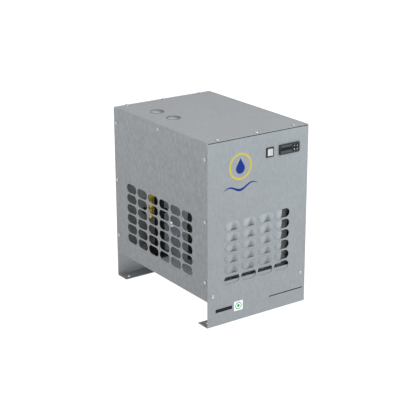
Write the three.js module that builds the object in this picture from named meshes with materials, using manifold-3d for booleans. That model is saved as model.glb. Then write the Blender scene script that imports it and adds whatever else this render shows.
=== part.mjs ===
// Refrigerated compressed-air dryer in a folded sheet-metal cabinet.
// Millimetres, +Z up, +X to the right of the control face, which looks along -Y.
import * as THREE from 'three';
import { mergeVertices } from 'three/addons/utils/BufferGeometryUtils.js';
import Module from 'manifold-3d';

const wasm = await Module();
wasm.setup();

// ---------- Driving dimensions ----------

// Cabinet outside, and the sheet that it is folded from
const WIDTH = 370;
const DEPTH = 516;
const HEIGHT = 574;
const SHEET = 1.5;
const BEND = 3;
const GAP = 0.3;

// Legs are the front and rear panels carried down past the tray
const LEG = 85;
const FOOT = 51;
const FOOT_HOLE = { radius: 4.5, x: 163, inset: 32 };
const TOP_LIP = 18;
const SIDE_LIP = 22;
const COVER_LIP = 26;
const COVER_LIP_LENGTH = 460;

// Drip tray that every inner part stands on
const TRAY_Z = LEG + 3;
const TRAY_FRONT_TOP = 137;
const TRAY_SIDE_TOP = 110;

// Ventilation slots: full-round ends, one pitch for the front and the sides
const SLOT = { length: 56, height: 28.4, pitchAlong: 62.4, pitchUp: 33.8, arcSteps: 2 };
const FRONT_SLOTS = { start: -124.4, bottom: 125.5, columns: 4, rows: 6 };
const SIDE_SLOTS = { start: -180, bottom: 142.5, columns: 6, rows: 6 };

// Panel screws
const SCREW = { head: 5.6, dome: 2.8, rim: 0.9, shank: 2, length: 9, hole: 2.5 };
const SIDE_SCREW_INSET = 12.7;
const SIDE_SCREW_Z = [146, 335, 524];
const FRONT_SCREW = { x: 167, z: 99 };

// Air ports under the cover
const PORT_X = -105.5;
const PORT_Y = { outlet: 35, inlet: 128 };
const PORT_HOLE = 21.5;
const PORT = { hex: 18, collar: 16, bore: 12.3, top: 566, boreDepth: 34 };

// Control face
const CONTROLLER = { left: 73.8, bottom: 496, width: 75.7, height: 31, proud: 3.4, body: 58 };
const CONTROLLER_BODY = { width: 71, height: 27 };
const LENS = { left: 79, bottom: 500.5, width: 41, height: 22, depth: 1.6 };
const KEY = { width: 8, height: 7, proud: 0.8, depth: 2.4, travel: 0.8, play: 0.3 };
const KEY_X = [128.5, 139.5];
const KEY_Z = [506, 517];
const SWITCH = { x: 39.6, z: 510.8, width: 27.8, height: 30.2, proud: 2, body: 24 };
const SWITCH_BODY = { width: 22.4, height: 26 };
const ROCKER = { halfWidth: 8.6, height: 21, well: 9.8, wellDepth: 13, tilt: 10, ridge: 1.5, top: 3.1 };

// Condenser block, its filter mat and its fan
const CONDENSER = { left: -152, right: 121, bottom: 105, top: 345, front: -245, rear: -201, plate: 2 };
const MAT = { left: -140, right: 91, bottom: 148, top: 332, front: -256.1, rear: -246.5 };
const FAN = { x: -15.5, z: 225, y: -184, blade: 98, hub: 30, hubDepth: 18, chord: 52, pitch: 26, count: 5 };
const SHROUD = { ring: 104, wall: 1.5, ringDepth: 26 };
const MOTOR = { radius: 38, front: -170, rear: -128, shaft: 3, shaftLength: 10 };
const STRAP = { width: 20, reach: 108, foot: 10, sheet: 2 };

// Hermetic compressor on rubber grommets
const COMPRESSOR = { x: 7, y: -24, radius: 85, bottom: 112, top: 290, seam: 214, base: 3 };
const BASE_PLATE = { x: 50, y: 92, corner: 14 };
const GROMMET = { radius: 13, waist: 9, hole: 4, height: 17 };
const TERMINAL = { width: 52, height: 62, reach: 26, z: 178 };

// Foam-jacketed heat exchanger and the insulated riser below it
const EXCHANGER = { left: -165, right: -45, front: -20, rear: 192, bottom: 352, top: 512, corner: 14 };
const RISER = { x: -71.8, y: 176, radius: 16 };
const RISER_BASE = { x: -118, y: 112, width: 58, depth: 82, height: 4.5 };
const STRAINER = { x: -118, y: 118, width: 18, depth: 58, height: 24 };
const PROBE = { z: 222, radius: 8.5, reach: 28 };
const BRACKET = { left: -150, right: -62, bottom: 385, height: 96, foot: 16 };

// Hot-gas bypass valve
const VALVE = { x: -108.3, y: 166.7, bottom: 213.6, top: 288.6, radius: 11, stub: 4.5 };

// Condensate drain, a short round valve with its timer on top
const DRAIN = { x: -46, y: 217, radius: 14.4, bottom: 97, top: 165, stub: 4, stubZ: 106 };
const DRAIN_TAIL = { z: 110, pipe: 6, barb: 7.6, bore: 3.6, proud: 26, nut: 11, nutDepth: 5 };
const KNOB = { radius: 3.8, height: 4.2, stem: 1.5, stemDepth: 3, spread: 7.6, back: 4 };
const TEST_BUTTON = { radius: 2.8, proud: 1.8, depth: 2, well: 3.5, front: 7.5 };

// Electrical parts
const GLAND = { x: 120, z: 150, hex: 11.5, dome: 9.6, thread: 8, bore: 4.6, proud: 22 };
const TERMINALS = { left: 50, right: 122, bottom: 420, height: 30, depth: 22 };
const CAPACITOR = { x: 150, y: 233.9, radius: 22, bottom: 330, height: 88 };

// Pipes
const COPPER = 4;
const LIQUID = 3;
const CAPILLARY = 1.4;
const SUCTION = 11;
const DRIER = { x: 140, radius: 12.5, front: -140, rear: -30, z: 128 };
const COIL = { x: 138, y: 40, z: 150, radius: 26, rise: 9, turns: 2.5 };

// ---------- Places worked out from the driving dimensions ----------

const HALF_W = WIDTH / 2;
const HALF_D = DEPTH / 2;
const COVER_Z = HEIGHT - SHEET;
const PANEL_TOP = COVER_Z - GAP;
const INNER_X = HALF_W - SHEET - GAP;
const INNER_Y = HALF_D - SHEET - GAP;
const FLOOR_Z = TRAY_Z + SHEET;
const FACE_Y = -HALF_D - GAP;

// ---------- Finishes ----------

const finish = (color, roughness, metalness) =>
  new THREE.MeshStandardMaterial({ color, roughness, metalness });
const PAINT = finish(0xa3aaac, 0.5, 0.35);
const ZINC = finish(0xb9bec0, 0.4, 0.8);
const STEEL = finish(0xd8dadb, 0.3, 0.9);
const BLACK_PAINT = finish(0x16181a, 0.45, 0.3);
const BLACK_PLASTIC = finish(0x1b1d1f, 0.5, 0);
const FOAM = finish(0x0f1011, 0.9, 0);
const FLEECE = finish(0xb4babc, 0.95, 0);
const ALUMINIUM = finish(0x8d9294, 0.5, 0.7);
const COPPER_METAL = finish(0xb0693f, 0.35, 0.9);
const BRASS = finish(0xc0a03c, 0.35, 0.9);
const NICKEL = finish(0xa2a4a6, 0.35, 0.9);
const RUBBER = finish(0x202020, 0.85, 0);
const SMOKED = finish(0x0c0e10, 0.1, 0);
const KEY_GREY = finish(0x9aa0a2, 0.5, 0);
const ROCKER_WHITE = finish(0xdcd8d6, 0.4, 0);
const CREAM = finish(0xd9d6cc, 0.5, 0);

// ---------- Solids ----------

function toSolid(geometry) {
  const bare = geometry.clone();
  bare.deleteAttribute('normal');
  bare.deleteAttribute('uv');
  const merged = mergeVertices(bare, 1e-4);
  const vertProperties = new Float32Array(merged.attributes.position.array);
  const triVerts = new Uint32Array(merged.index.array);
  return new wasm.Manifold(new wasm.Mesh({ numProp: 3, vertProperties, triVerts }));
}

function toGeometry(solid) {
  const mesh = solid.getMesh();
  const geometry = new THREE.BufferGeometry();
  geometry.setAttribute('position', new THREE.BufferAttribute(mesh.vertProperties, mesh.numProp));
  geometry.setIndex(new THREE.BufferAttribute(mesh.triVerts, 1));
  return geometry;
}

const join = (...parts) => toGeometry(parts.map(toSolid).reduce((whole, part) => whole.add(part)));

function cut(body, ...tools) {
  return toGeometry(tools.map(toSolid).reduce((left, tool) => left.subtract(tool), toSolid(body)));
}

function block(x0, x1, y0, y1, z0, z1) {
  const geometry = new THREE.BoxGeometry(x1 - x0, y1 - y0, z1 - z0);
  return geometry.translate((x0 + x1) / 2, (y0 + y1) / 2, (z0 + z1) / 2);
}

const extrude = (shapes, depth, curveSegments = 6) =>
  new THREE.ExtrudeGeometry(shapes, { depth, bevelEnabled: false, steps: 1, curveSegments });

// Outlines drawn in plan, seen from the front (X, Z), or seen from the side (Y, Z)
const planSolid = (shapes, z0, z1, segments) => extrude(shapes, z1 - z0, segments).translate(0, 0, z0);

function frontSolid(shapes, y0, y1, segments) {
  return extrude(shapes, y1 - y0, segments).rotateX(Math.PI / 2).translate(0, y1, 0);
}

function sideSolid(shapes, x0, x1, segments) {
  const across = new THREE.Vector3(0, 1, 0);
  const up = new THREE.Vector3(0, 0, 1);
  const along = new THREE.Vector3(1, 0, 0);
  const turn = new THREE.Matrix4().makeBasis(across, up, along);
  return extrude(shapes, x1 - x0, segments).applyMatrix4(turn).translate(x0, 0, 0);
}

function polygon(radius, sides, cx = 0, cy = 0) {
  const corners = [];
  for (let i = 0; i < sides; i += 1) {
    const angle = (2 * Math.PI * i) / sides;
    corners.push(new THREE.Vector2(cx + radius * Math.cos(angle), cy + radius * Math.sin(angle)));
  }
  return new THREE.Shape(corners);
}

function stadium(left, bottom, length, height) {
  const r = height / 2;
  const shape = new THREE.Shape();
  shape.moveTo(left + r, bottom);
  shape.lineTo(left + length - r, bottom);
  shape.absarc(left + length - r, bottom + r, r, -Math.PI / 2, Math.PI / 2, false);
  shape.lineTo(left + r, bottom + height);
  shape.absarc(left + r, bottom + r, r, Math.PI / 2, (3 * Math.PI) / 2, false);
  return shape;
}

function roundedRectangle(left, bottom, width, height, r) {
  const right = left + width;
  const top = bottom + height;
  const shape = new THREE.Shape();
  shape.moveTo(left + r, bottom);
  shape.lineTo(right - r, bottom);
  shape.absarc(right - r, bottom + r, r, -Math.PI / 2, 0, false);
  shape.lineTo(right, top - r);
  shape.absarc(right - r, top - r, r, 0, Math.PI / 2, false);
  shape.lineTo(left + r, top);
  shape.absarc(left + r, top - r, r, Math.PI / 2, Math.PI, false);
  shape.lineTo(left, bottom + r);
  shape.absarc(left + r, bottom + r, r, Math.PI, (3 * Math.PI) / 2, false);
  return shape;
}

// Turned piece about +Z from [radius, height] pairs that start and end on the axis
function turned(profile, sides) {
  const points = profile.map(([radius, height]) => new THREE.Vector2(radius, height));
  const geometry = new THREE.LatheGeometry(points, sides).rotateX(Math.PI / 2);
  return toGeometry(toSolid(geometry));
}

// Rods along Z, Y and X
const rodZ = (x, y, radius, z0, z1, sides = 12) => planSolid(polygon(radius, sides, x, y), z0, z1);
const rodY = (x, z, radius, y0, y1, sides = 12) => frontSolid(polygon(radius, sides, x, z), y0, y1);
const rodX = (y, z, radius, x0, x1, sides = 12) => sideSolid(polygon(radius, sides, y, z), x0, x1);

// Pipe of a round section along a smooth route through [x, y, z] points
function pipe(route, radius, sides, steps) {
  const points = route.map(([x, y, z]) => new THREE.Vector3(x, y, z));
  const extrudePath = new THREE.CatmullRomCurve3(points, false, 'centripetal');
  return new THREE.ExtrudeGeometry(polygon(radius, sides), { steps, extrudePath, bevelEnabled: false });
}

const dryer = new THREE.Group();

function add(name, geometry, material, parent = dryer) {
  const mesh = new THREE.Mesh(geometry, material);
  mesh.name = name;
  parent.add(mesh);
  return mesh;
}

// ---------- Cabinet ----------

function slotField(field) {
  const slots = [];
  for (let column = 0; column < field.columns; column += 1) {
    for (let row = 0; row < field.rows; row += 1) {
      const left = field.start + column * SLOT.pitchAlong;
      const bottom = field.bottom + row * SLOT.pitchUp;
      slots.push(stadium(left, bottom, SLOT.length, SLOT.height));
    }
  }
  return slots;
}

// Folded end panel as it stands at the front: foot, face, top lip and two side lips
function endPanel() {
  const section = new THREE.Shape();
  const inner = BEND - SHEET;
  const topCentre = PANEL_TOP - BEND;
  section.moveTo(FOOT, 0);
  section.lineTo(BEND, 0);
  section.absarc(BEND, BEND, BEND, -Math.PI / 2, -Math.PI, true);
  section.lineTo(0, topCentre);
  section.absarc(BEND, topCentre, BEND, Math.PI, Math.PI / 2, true);
  section.lineTo(TOP_LIP, PANEL_TOP);
  section.lineTo(TOP_LIP, PANEL_TOP - SHEET);
  section.lineTo(BEND, PANEL_TOP - SHEET);
  section.absarc(BEND, topCentre, inner, Math.PI / 2, Math.PI, false);
  section.lineTo(SHEET, BEND);
  section.absarc(BEND, BEND, inner, Math.PI, (3 * Math.PI) / 2, false);
  section.lineTo(FOOT, SHEET);
  const face = sideSolid(section, -HALF_W, HALF_W, 4).translate(0, -HALF_D, 0);
  const lipY = -HALF_D + SHEET / 2;
  const lipTop = PANEL_TOP - BEND - GAP;
  const lip = (x0, x1) => block(x0, x1, lipY, -HALF_D + SIDE_LIP, TRAY_Z, lipTop);
  const folded = join(face, lip(-INNER_X, SHEET - INNER_X), lip(INNER_X - SHEET, INNER_X));
  const holes = [];
  const notch = [-HALF_D + SHEET, -HALF_D + FOOT, LEG, HEIGHT];
  for (const side of [-1, 1]) {
    const footY = -HALF_D + FOOT_HOLE.inset;
    holes.push(rodZ(side * FOOT_HOLE.x, footY, FOOT_HOLE.radius, -1, SHEET + 1));
    const edges = [side * INNER_X, side * (HALF_W + 1)];
    holes.push(block(Math.min(...edges), Math.max(...edges), ...notch));
  }
  for (const z of SIDE_SCREW_Z) {
    holes.push(rodX(-HALF_D + SIDE_SCREW_INSET, z, SCREW.hole, -HALF_W, HALF_W, 8));
  }
  return cut(folded, ...holes);
}

function frontPanel() {
  const through = [-HALF_D - 1, -HALF_D + SHEET + 1];
  const slots = frontSolid(slotField(FRONT_SLOTS), ...through, SLOT.arcSteps);
  const bodyLeft = CONTROLLER.left + (CONTROLLER.width - CONTROLLER_BODY.width) / 2 - GAP;
  const bodyBottom = CONTROLLER.bottom + (CONTROLLER.height - CONTROLLER_BODY.height) / 2 - GAP;
  const controllerHole = block(
    bodyLeft, bodyLeft + CONTROLLER_BODY.width + 2 * GAP, ...through,
    bodyBottom, bodyBottom + CONTROLLER_BODY.height + 2 * GAP,
  );
  const halfW = SWITCH_BODY.width / 2 + GAP;
  const halfH = SWITCH_BODY.height / 2 + GAP;
  const { x, z } = SWITCH;
  const switchHole = block(x - halfW, x + halfW, ...through, z - halfH, z + halfH);
  const screw = (side) => rodY(side * FRONT_SCREW.x, FRONT_SCREW.z, SCREW.hole, ...through, 8);
  return cut(endPanel(), slots, controllerHole, switchHole, screw(-1), screw(1));
}

function rearPanel() {
  const through = [HALF_D - SHEET - 1, HALF_D + 1];
  const gland = rodY(GLAND.x, GLAND.z, GLAND.thread + 0.6, ...through);
  const drain = rodY(DRAIN.x, DRAIN_TAIL.z, DRAIN_TAIL.pipe + 0.8, ...through);
  return cut(endPanel().rotateZ(Math.PI), gland, drain);
}

function sidePanel(side) {
  const outer = side * HALF_W;
  const inner = side * (HALF_W - SHEET);
  const sheet = block(Math.min(outer, inner), Math.max(outer, inner), -INNER_Y, INNER_Y, LEG, HEIGHT);
  const through = [Math.min(outer, inner) - 1, Math.max(outer, inner) + 1];
  const slots = sideSolid(slotField(SIDE_SLOTS), ...through, SLOT.arcSteps);
  const holes = [];
  for (const end of [-1, 1]) {
    for (const z of SIDE_SCREW_Z) {
      holes.push(rodX(end * (HALF_D - SIDE_SCREW_INSET), z, SCREW.hole, ...through, 8));
    }
  }
  return cut(sheet, slots, ...holes);
}

function topCover() {
  const sheet = block(-INNER_X, INNER_X, -HALF_D, HALF_D, COVER_Z, HEIGHT);
  const half = COVER_LIP_LENGTH / 2;
  const lip = (x0, x1) => block(x0, x1, -half, half, HEIGHT - COVER_LIP, COVER_Z + SHEET / 2);
  const folded = join(sheet, lip(-INNER_X, SHEET - INNER_X), lip(INNER_X - SHEET, INNER_X));
  const port = (y) => rodZ(PORT_X, y, PORT_HOLE, COVER_Z - 1, HEIGHT + 1, 24);
  return cut(folded, port(PORT_Y.outlet), port(PORT_Y.inlet));
}

// Folded tray: tall lips at the front and rear, low lips along the sides
function baseTray() {
  const halfX = INNER_X - SHEET - GAP;
  const length = [SHEET - INNER_Y, INNER_Y - SHEET];
  const whole = block(-halfX, halfX, -INNER_Y, INNER_Y, TRAY_Z, TRAY_FRONT_TOP);
  const hollow = block(SHEET - halfX, halfX - SHEET, ...length, FLOOR_Z, TRAY_FRONT_TOP + 1);
  const step = block(-halfX - 1, halfX + 1, ...length, TRAY_SIDE_TOP, TRAY_FRONT_TOP + 1);
  const screw = (x) => rodY(x, FRONT_SCREW.z, SCREW.hole, -INNER_Y - 1, SHEET - INNER_Y + 1, 8);
  const tail = rodY(DRAIN.x, DRAIN_TAIL.z, DRAIN_TAIL.pipe + 0.8, INNER_Y - SHEET - 1, INNER_Y + 1);
  return cut(whole, hollow, step, screw(-FRONT_SCREW.x), screw(FRONT_SCREW.x), tail);
}

add('front_panel', frontPanel(), PAINT);
add('rear_panel', rearPanel(), PAINT);
add('left_side_panel', sidePanel(-1), PAINT);
add('right_side_panel', sidePanel(1), PAINT);
add('top_cover', topCover(), PAINT);
add('base_tray', baseTray(), PAINT);

// ---------- Screws ----------

// Pan-head screw standing on the plane z = 0, shank downwards
function panScrew() {
  const { head, dome, rim, shank, length } = SCREW;
  const profile = [
    [0, -length], [shank, -length], [shank, 0], [head, 0], [head, rim], [head * 0.72, dome * 0.82], [0, dome],
  ];
  return turned(profile, 8);
}

function placeScrews() {
  const screw = panScrew();
  for (const [name, side] of [['left', -1], ['right', 1]]) {
    const holder = new THREE.Group();
    holder.rotation.z = side < 0 ? Math.PI : 0;
    dryer.add(holder);
    for (const [end, sign] of [['front', -1], ['rear', 1]]) {
      SIDE_SCREW_Z.forEach((z, index) => {
        const mesh = add(`${name}_${end}_screw_${index + 1}`, screw, STEEL, holder);
        mesh.position.set(HALF_W + GAP, side * sign * (HALF_D - SIDE_SCREW_INSET), z);
        mesh.rotation.y = Math.PI / 2;
      });
    }
  }
  for (const [name, side] of [['left', -1], ['right', 1]]) {
    const mesh = add(`front_panel_screw_${name}`, screw, STEEL);
    mesh.position.set(side * FRONT_SCREW.x, FACE_Y, FRONT_SCREW.z);
    mesh.rotation.x = Math.PI / 2;
  }
}

placeScrews();

// ---------- Controls ----------

function keyPlaces() {
  return KEY_Z.flatMap((z) => KEY_X.map((x) => [x, z])).reverse();
}

function controllerBody() {
  const { left, bottom, width, height, proud, body } = CONTROLLER;
  const bezel = frontSolid(roundedRectangle(left, bottom, width, height, 2.5), FACE_Y - proud, FACE_Y, 3);
  const bodyX = left + (width - CONTROLLER_BODY.width) / 2;
  const bodyZ = bottom + (height - CONTROLLER_BODY.height) / 2;
  const box = block(
    bodyX, bodyX + CONTROLLER_BODY.width, FACE_Y - 1, FACE_Y + body,
    bodyZ, bodyZ + CONTROLLER_BODY.height,
  );
  const front = FACE_Y - proud;
  const well = (x0, x1, depth, z0, z1) =>
    block(x0 - GAP, x1 + GAP, front - 1, front + depth, z0 - GAP, z1 + GAP);
  const lens = well(LENS.left, LENS.left + LENS.width, LENS.depth, LENS.bottom, LENS.bottom + LENS.height);
  const keys = keyPlaces().map(([x, z]) => {
    const depth = KEY.depth + KEY.travel + KEY.play;
    return well(x - KEY.width / 2, x + KEY.width / 2, depth, z - KEY.height / 2, z + KEY.height / 2);
  });
  return cut(join(bezel, box), lens, ...keys);
}

function controllerLens() {
  const front = FACE_Y - CONTROLLER.proud;
  const { left, bottom, width, height, depth } = LENS;
  return frontSolid(roundedRectangle(left, bottom, width, height, 1), front, front + depth - GAP, 2);
}

function controllerKey() {
  const cap = roundedRectangle(-KEY.width / 2, -KEY.height / 2, KEY.width, KEY.height, 1);
  return frontSolid(cap, -KEY.proud, KEY.depth, 2);
}

function switchBody() {
  const { x, z, width, height, proud, body } = SWITCH;
  const front = FACE_Y - proud;
  const outline = roundedRectangle(x - width / 2, z - height / 2, width, height, 2);
  const bezel = frontSolid(outline, front, FACE_Y, 3);
  const halfW = SWITCH_BODY.width / 2;
  const halfH = SWITCH_BODY.height / 2;
  const box = block(x - halfW, x + halfW, FACE_Y - 1, FACE_Y + body, z - halfH, z + halfH);
  const wellH = ROCKER.height / 2 + 0.5;
  const wellW = ROCKER.well;
  const well = block(x - wellW, x + wellW, front - 1, front + ROCKER.wellDepth, z - wellH, z + wellH);
  return cut(join(bezel, box), well);
}

// Rocker about its own pivot, unturned: two faces that fall towards the middle, and a round back
function switchRocker() {
  const { halfWidth, height, ridge, top } = ROCKER;
  const outline = new THREE.Shape();
  outline.moveTo(-halfWidth, -top - ridge);
  outline.lineTo(0, -top);
  outline.lineTo(halfWidth, -top - ridge);
  outline.lineTo(halfWidth, 0);
  outline.absarc(0, 0, halfWidth, 0, Math.PI, false);
  return planSolid(outline, -height / 2, height / 2, 8);
}

add('controller_body', controllerBody(), BLACK_PLASTIC);
add('controller_lens', controllerLens(), SMOKED);
keyPlaces().forEach(([x, z], index) => {
  const key = add(`controller_key_${index + 1}`, controllerKey(), KEY_GREY);
  key.position.set(x, FACE_Y - CONTROLLER.proud, z);
});
add('switch_body', switchBody(), BLACK_PLASTIC);
const rocker = add('switch_rocker', switchRocker(), ROCKER_WHITE);
rocker.position.set(SWITCH.x, FACE_Y + 0.6, SWITCH.z);
rocker.rotation.z = THREE.MathUtils.degToRad(-ROCKER.tilt);

// ---------- Condenser and fan ----------

function filterMat() {
  return block(MAT.left, MAT.right, MAT.front, MAT.rear, MAT.bottom, MAT.top);
}

function condenser() {
  const { left, right, bottom, top, front, rear, plate } = CONDENSER;
  const core = block(left + 1, right - 1, front, rear - 1, bottom, top - 2);
  const end = (x0) => block(x0, x0 + plate, front - 1, rear, FLOOR_Z + GAP, top);
  return join(core, end(left), end(right - plate));
}

function fanShroud() {
  const y = CONDENSER.rear + GAP;
  const plate = block(CONDENSER.left, CONDENSER.right, y, y + SHEET, FLOOR_Z + GAP, CONDENSER.top);
  const ring = rodY(FAN.x, FAN.z, SHROUD.ring + SHROUD.wall, y + SHEET / 2, y + SHROUD.ringDepth, 32);
  return cut(join(plate, ring), rodY(FAN.x, FAN.z, SHROUD.ring, y - 1, y + SHROUD.ringDepth + 1, 32));
}

// Hat-shaped strap that carries the motor behind the fan
function fanBracket() {
  const near = CONDENSER.rear + GAP + SHEET + GAP;
  const far = MOTOR.rear + GAP + STRAP.sheet;
  const { reach, foot, sheet } = STRAP;
  const strap = new THREE.Shape();
  strap.moveTo(near, reach + foot);
  strap.lineTo(near, reach - sheet);
  strap.lineTo(far - sheet, reach - sheet);
  strap.lineTo(far - sheet, sheet - reach);
  strap.lineTo(near, sheet - reach);
  strap.lineTo(near, -reach - foot);
  strap.lineTo(near + sheet, -reach - foot);
  strap.lineTo(near + sheet, -reach);
  strap.lineTo(far, -reach);
  strap.lineTo(far, reach);
  strap.lineTo(near + sheet, reach);
  strap.lineTo(near + sheet, reach + foot);
  return sideSolid(strap, FAN.x - STRAP.width / 2, FAN.x + STRAP.width / 2).translate(0, 0, FAN.z);
}

function fanMotor() {
  const { radius, front, rear, shaft, shaftLength } = MOTOR;
  const depth = rear - front;
  const nose = 0.6 * radius;
  const profile = [
    [0, 0], [radius - 4, 0], [radius, 4], [radius, depth - 12], [nose, depth - 4],
    [nose, depth], [shaft, depth], [shaft, depth + shaftLength], [0, depth + shaftLength],
  ];
  return turned(profile, 20).rotateX(Math.PI / 2).translate(FAN.x, rear, FAN.z);
}

function fanBlades() {
  const { blade, hub, hubDepth, chord, pitch, count } = FAN;
  const parts = [rodZ(0, 0, hub, -hubDepth / 2, hubDepth / 2, 20)];
  const root = hub - 4;
  const outline = new THREE.Shape();
  outline.moveTo(root, -0.26 * chord);
  outline.quadraticCurveTo(0.7 * blade, -0.5 * chord, blade - 6, -0.52 * chord);
  outline.quadraticCurveTo(blade, 0, blade - 12, 0.5 * chord);
  outline.quadraticCurveTo(0.6 * blade, 0.4 * chord, root, 0.26 * chord);
  for (let i = 0; i < count; i += 1) {
    const vane = planSolid(outline, -0.8, 0.8, 4).rotateX(THREE.MathUtils.degToRad(pitch));
    parts.push(vane.rotateZ((2 * Math.PI * i) / count));
  }
  const bore = rodZ(0, 0, MOTOR.shaft + 0.7, -hubDepth, 2, 12);
  return cut(join(...parts), bore).rotateX(Math.PI / 2).translate(FAN.x, FAN.y, FAN.z);
}

add('filter_mat', filterMat(), FLEECE);
add('condenser', condenser(), ALUMINIUM);
add('fan_shroud', fanShroud(), ZINC);
add('fan_bracket', fanBracket(), ZINC);
add('fan_motor', fanMotor(), BLACK_PAINT);
add('fan_blades', fanBlades(), BLACK_PLASTIC);

// ---------- Compressor ----------

function compressor() {
  const { x, y, radius, bottom, top, seam, base } = COMPRESSOR;
  const profile = [
    [0, bottom], [radius * 0.62, bottom], [radius * 0.9, bottom + 14], [radius, bottom + 40],
    [radius, seam - 5], [radius + 3, seam - 4], [radius + 3, seam + 4], [radius, seam + 5],
    [radius, top - 46], [radius * 0.9, top - 18], [radius * 0.62, top], [0, top],
  ];
  const shell = turned(profile, 22).translate(x, y, 0);
  const { x: halfX, y: halfY, corner } = BASE_PLATE;
  const foot = roundedRectangle(x - halfX, y - halfY, 2 * halfX, 2 * halfY, corner);
  const plate = planSolid(foot, bottom - base, bottom + 1, 3);
  return join(shell, plate);
}

function grommet() {
  const { radius, waist, hole, height } = GROMMET;
  const profile = [
    [0, 0], [radius, 0], [radius, height * 0.35], [waist, height * 0.5],
    [radius, height * 0.65], [radius, height], [0, height],
  ];
  return cut(turned(profile, 12), rodZ(0, 0, hole, -1, height + 1, 8));
}

// Plastic cover over the electrical pins, hollowed to the shell's curve
function terminalCover() {
  const { x, y, radius } = COMPRESSOR;
  const { width, height, reach, z } = TERMINAL;
  const outline = roundedRectangle(y - width / 2, z - height / 2, width, height, 8);
  const box = sideSolid(outline, x + radius - 12, x + radius + reach, 3);
  return cut(box, rodZ(x, y, radius + 3 + 2 * GAP, z - height, z + height, 56));
}

add('compressor', compressor(), BLACK_PAINT);
add('compressor_terminal_cover', terminalCover(), BLACK_PLASTIC);
[[-1, -1], [1, -1], [-1, 1], [1, 1]].forEach(([sx, sy], index) => {
  const mesh = add(`compressor_grommet_${index + 1}`, grommet(), RUBBER);
  const inset = BASE_PLATE.corner;
  const x = COMPRESSOR.x + sx * (BASE_PLATE.x - inset);
  const y = COMPRESSOR.y + sy * (BASE_PLATE.y - inset);
  mesh.position.set(x, y, FLOOR_Z + GAP);
});

// ---------- Heat exchanger and air side ----------

function heatExchanger() {
  const { left, right, front, rear, bottom, top, corner } = EXCHANGER;
  return planSolid(roundedRectangle(left, front, right - left, rear - front, corner), bottom, top, 4);
}

// Upright female fitting: hexagon below, round collar above, blind bore from the top
function airFitting(y) {
  const foot = EXCHANGER.top + GAP;
  const hexTop = foot + 26;
  const hexagon = rodZ(PORT_X, y, PORT.hex, foot, hexTop, 6);
  const collar = rodZ(PORT_X, y, PORT.collar, hexTop - 1, PORT.top, 24);
  const bore = rodZ(PORT_X, y, PORT.bore, PORT.top - PORT.boreDepth, PORT.top + 1, 20);
  return cut(join(hexagon, collar), bore);
}

// Folded bracket from the rear panel to the exchanger
function exchangerBracket() {
  const { left, right, bottom, height, foot } = BRACKET;
  const near = EXCHANGER.rear + GAP;
  const outline = new THREE.Shape();
  outline.moveTo(left, near);
  outline.lineTo(right, near);
  outline.lineTo(right, INNER_Y - SHEET);
  outline.lineTo(right + foot, INNER_Y - SHEET);
  outline.lineTo(right + foot, INNER_Y);
  outline.lineTo(right - SHEET, INNER_Y);
  outline.lineTo(right - SHEET, near + SHEET);
  outline.lineTo(left + SHEET, near + SHEET);
  outline.lineTo(left + SHEET, INNER_Y);
  outline.lineTo(left - foot, INNER_Y);
  outline.lineTo(left - foot, INNER_Y - SHEET);
  outline.lineTo(left, INNER_Y - SHEET);
  return planSolid(outline, bottom, bottom + height);
}

// Insulated riser on its base plate, with a strainer block and a branch for the temperature probe
function separatorRiser() {
  const { x, y, radius } = RISER;
  const base = RISER_BASE;
  const foot = FLOOR_Z + GAP;
  const tube = rodZ(x, y, radius, foot + 1, EXCHANGER.bottom - GAP, 16);
  const outline = roundedRectangle(base.x, base.y, base.width, base.depth, 4);
  const plate = planSolid(outline, foot, foot + base.height, 2);
  const side = roundedRectangle(STRAINER.x, STRAINER.y, STRAINER.width, STRAINER.depth, 4);
  const strainer = planSolid(side, foot, foot + STRAINER.height, 2);
  return join(tube, plate, strainer, rodX(y, PROBE.z, PROBE.radius, x, x + PROBE.reach, 12));
}

add('heat_exchanger', heatExchanger(), FOAM);
add('air_inlet_fitting', airFitting(PORT_Y.inlet), NICKEL);
add('air_outlet_fitting', airFitting(PORT_Y.outlet), NICKEL);
add('exchanger_bracket', exchangerBracket(), ZINC);
add('separator_riser', separatorRiser(), FOAM);

// ---------- Refrigerant side ----------

// Valve body on its pipe stub, with a hexagon cap at the bottom
function bypassValve() {
  const { x, y, bottom, top, radius, stub } = VALVE;
  const body = rodZ(x, y, radius - 1.5, bottom + 8, top - 12, 14);
  const cap = rodZ(x, y, radius, bottom, bottom + 15, 6);
  const collar = rodZ(x, y, radius, top - 22, top - 4, 6);
  const outlet = rodZ(x, y, stub, top - 12, EXCHANGER.bottom - GAP, 10);
  return join(body, cap, collar, outlet);
}

function filterDrier() {
  const { x, radius, front, rear, z } = DRIER;
  const length = rear - front;
  const neck = LIQUID + 1;
  const profile = [
    [0, 0], [neck, 0], [neck, 6], [radius, 16],
    [radius, length - 16], [neck, length - 6], [neck, length], [0, length],
  ];
  return turned(profile, 14).rotateX(-Math.PI / 2).translate(x, front, z);
}

// Coiled capillary between the drier and the exchanger
function capillaryTube() {
  const { x, y, z, radius, rise, turns } = COIL;
  const route = [[DRIER.x, DRIER.rear + GAP, DRIER.z], [DRIER.x, DRIER.rear + 14, DRIER.z + 2]];
  const stepsPerTurn = 8;
  for (let i = 0; i <= turns * stepsPerTurn; i += 1) {
    const angle = -Math.PI / 2 + (2 * Math.PI * i) / stepsPerTurn;
    route.push([x + radius * Math.cos(angle), y + radius * Math.sin(angle), z + (rise * i) / stepsPerTurn]);
  }
  const side = EXCHANGER.right;
  route.push([70, 90, 260], [0, 110, 400], [side + 10, 115, 430], [side + GAP, 115, 430]);
  return pipe(route, CAPILLARY, 6, 52);
}

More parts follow.
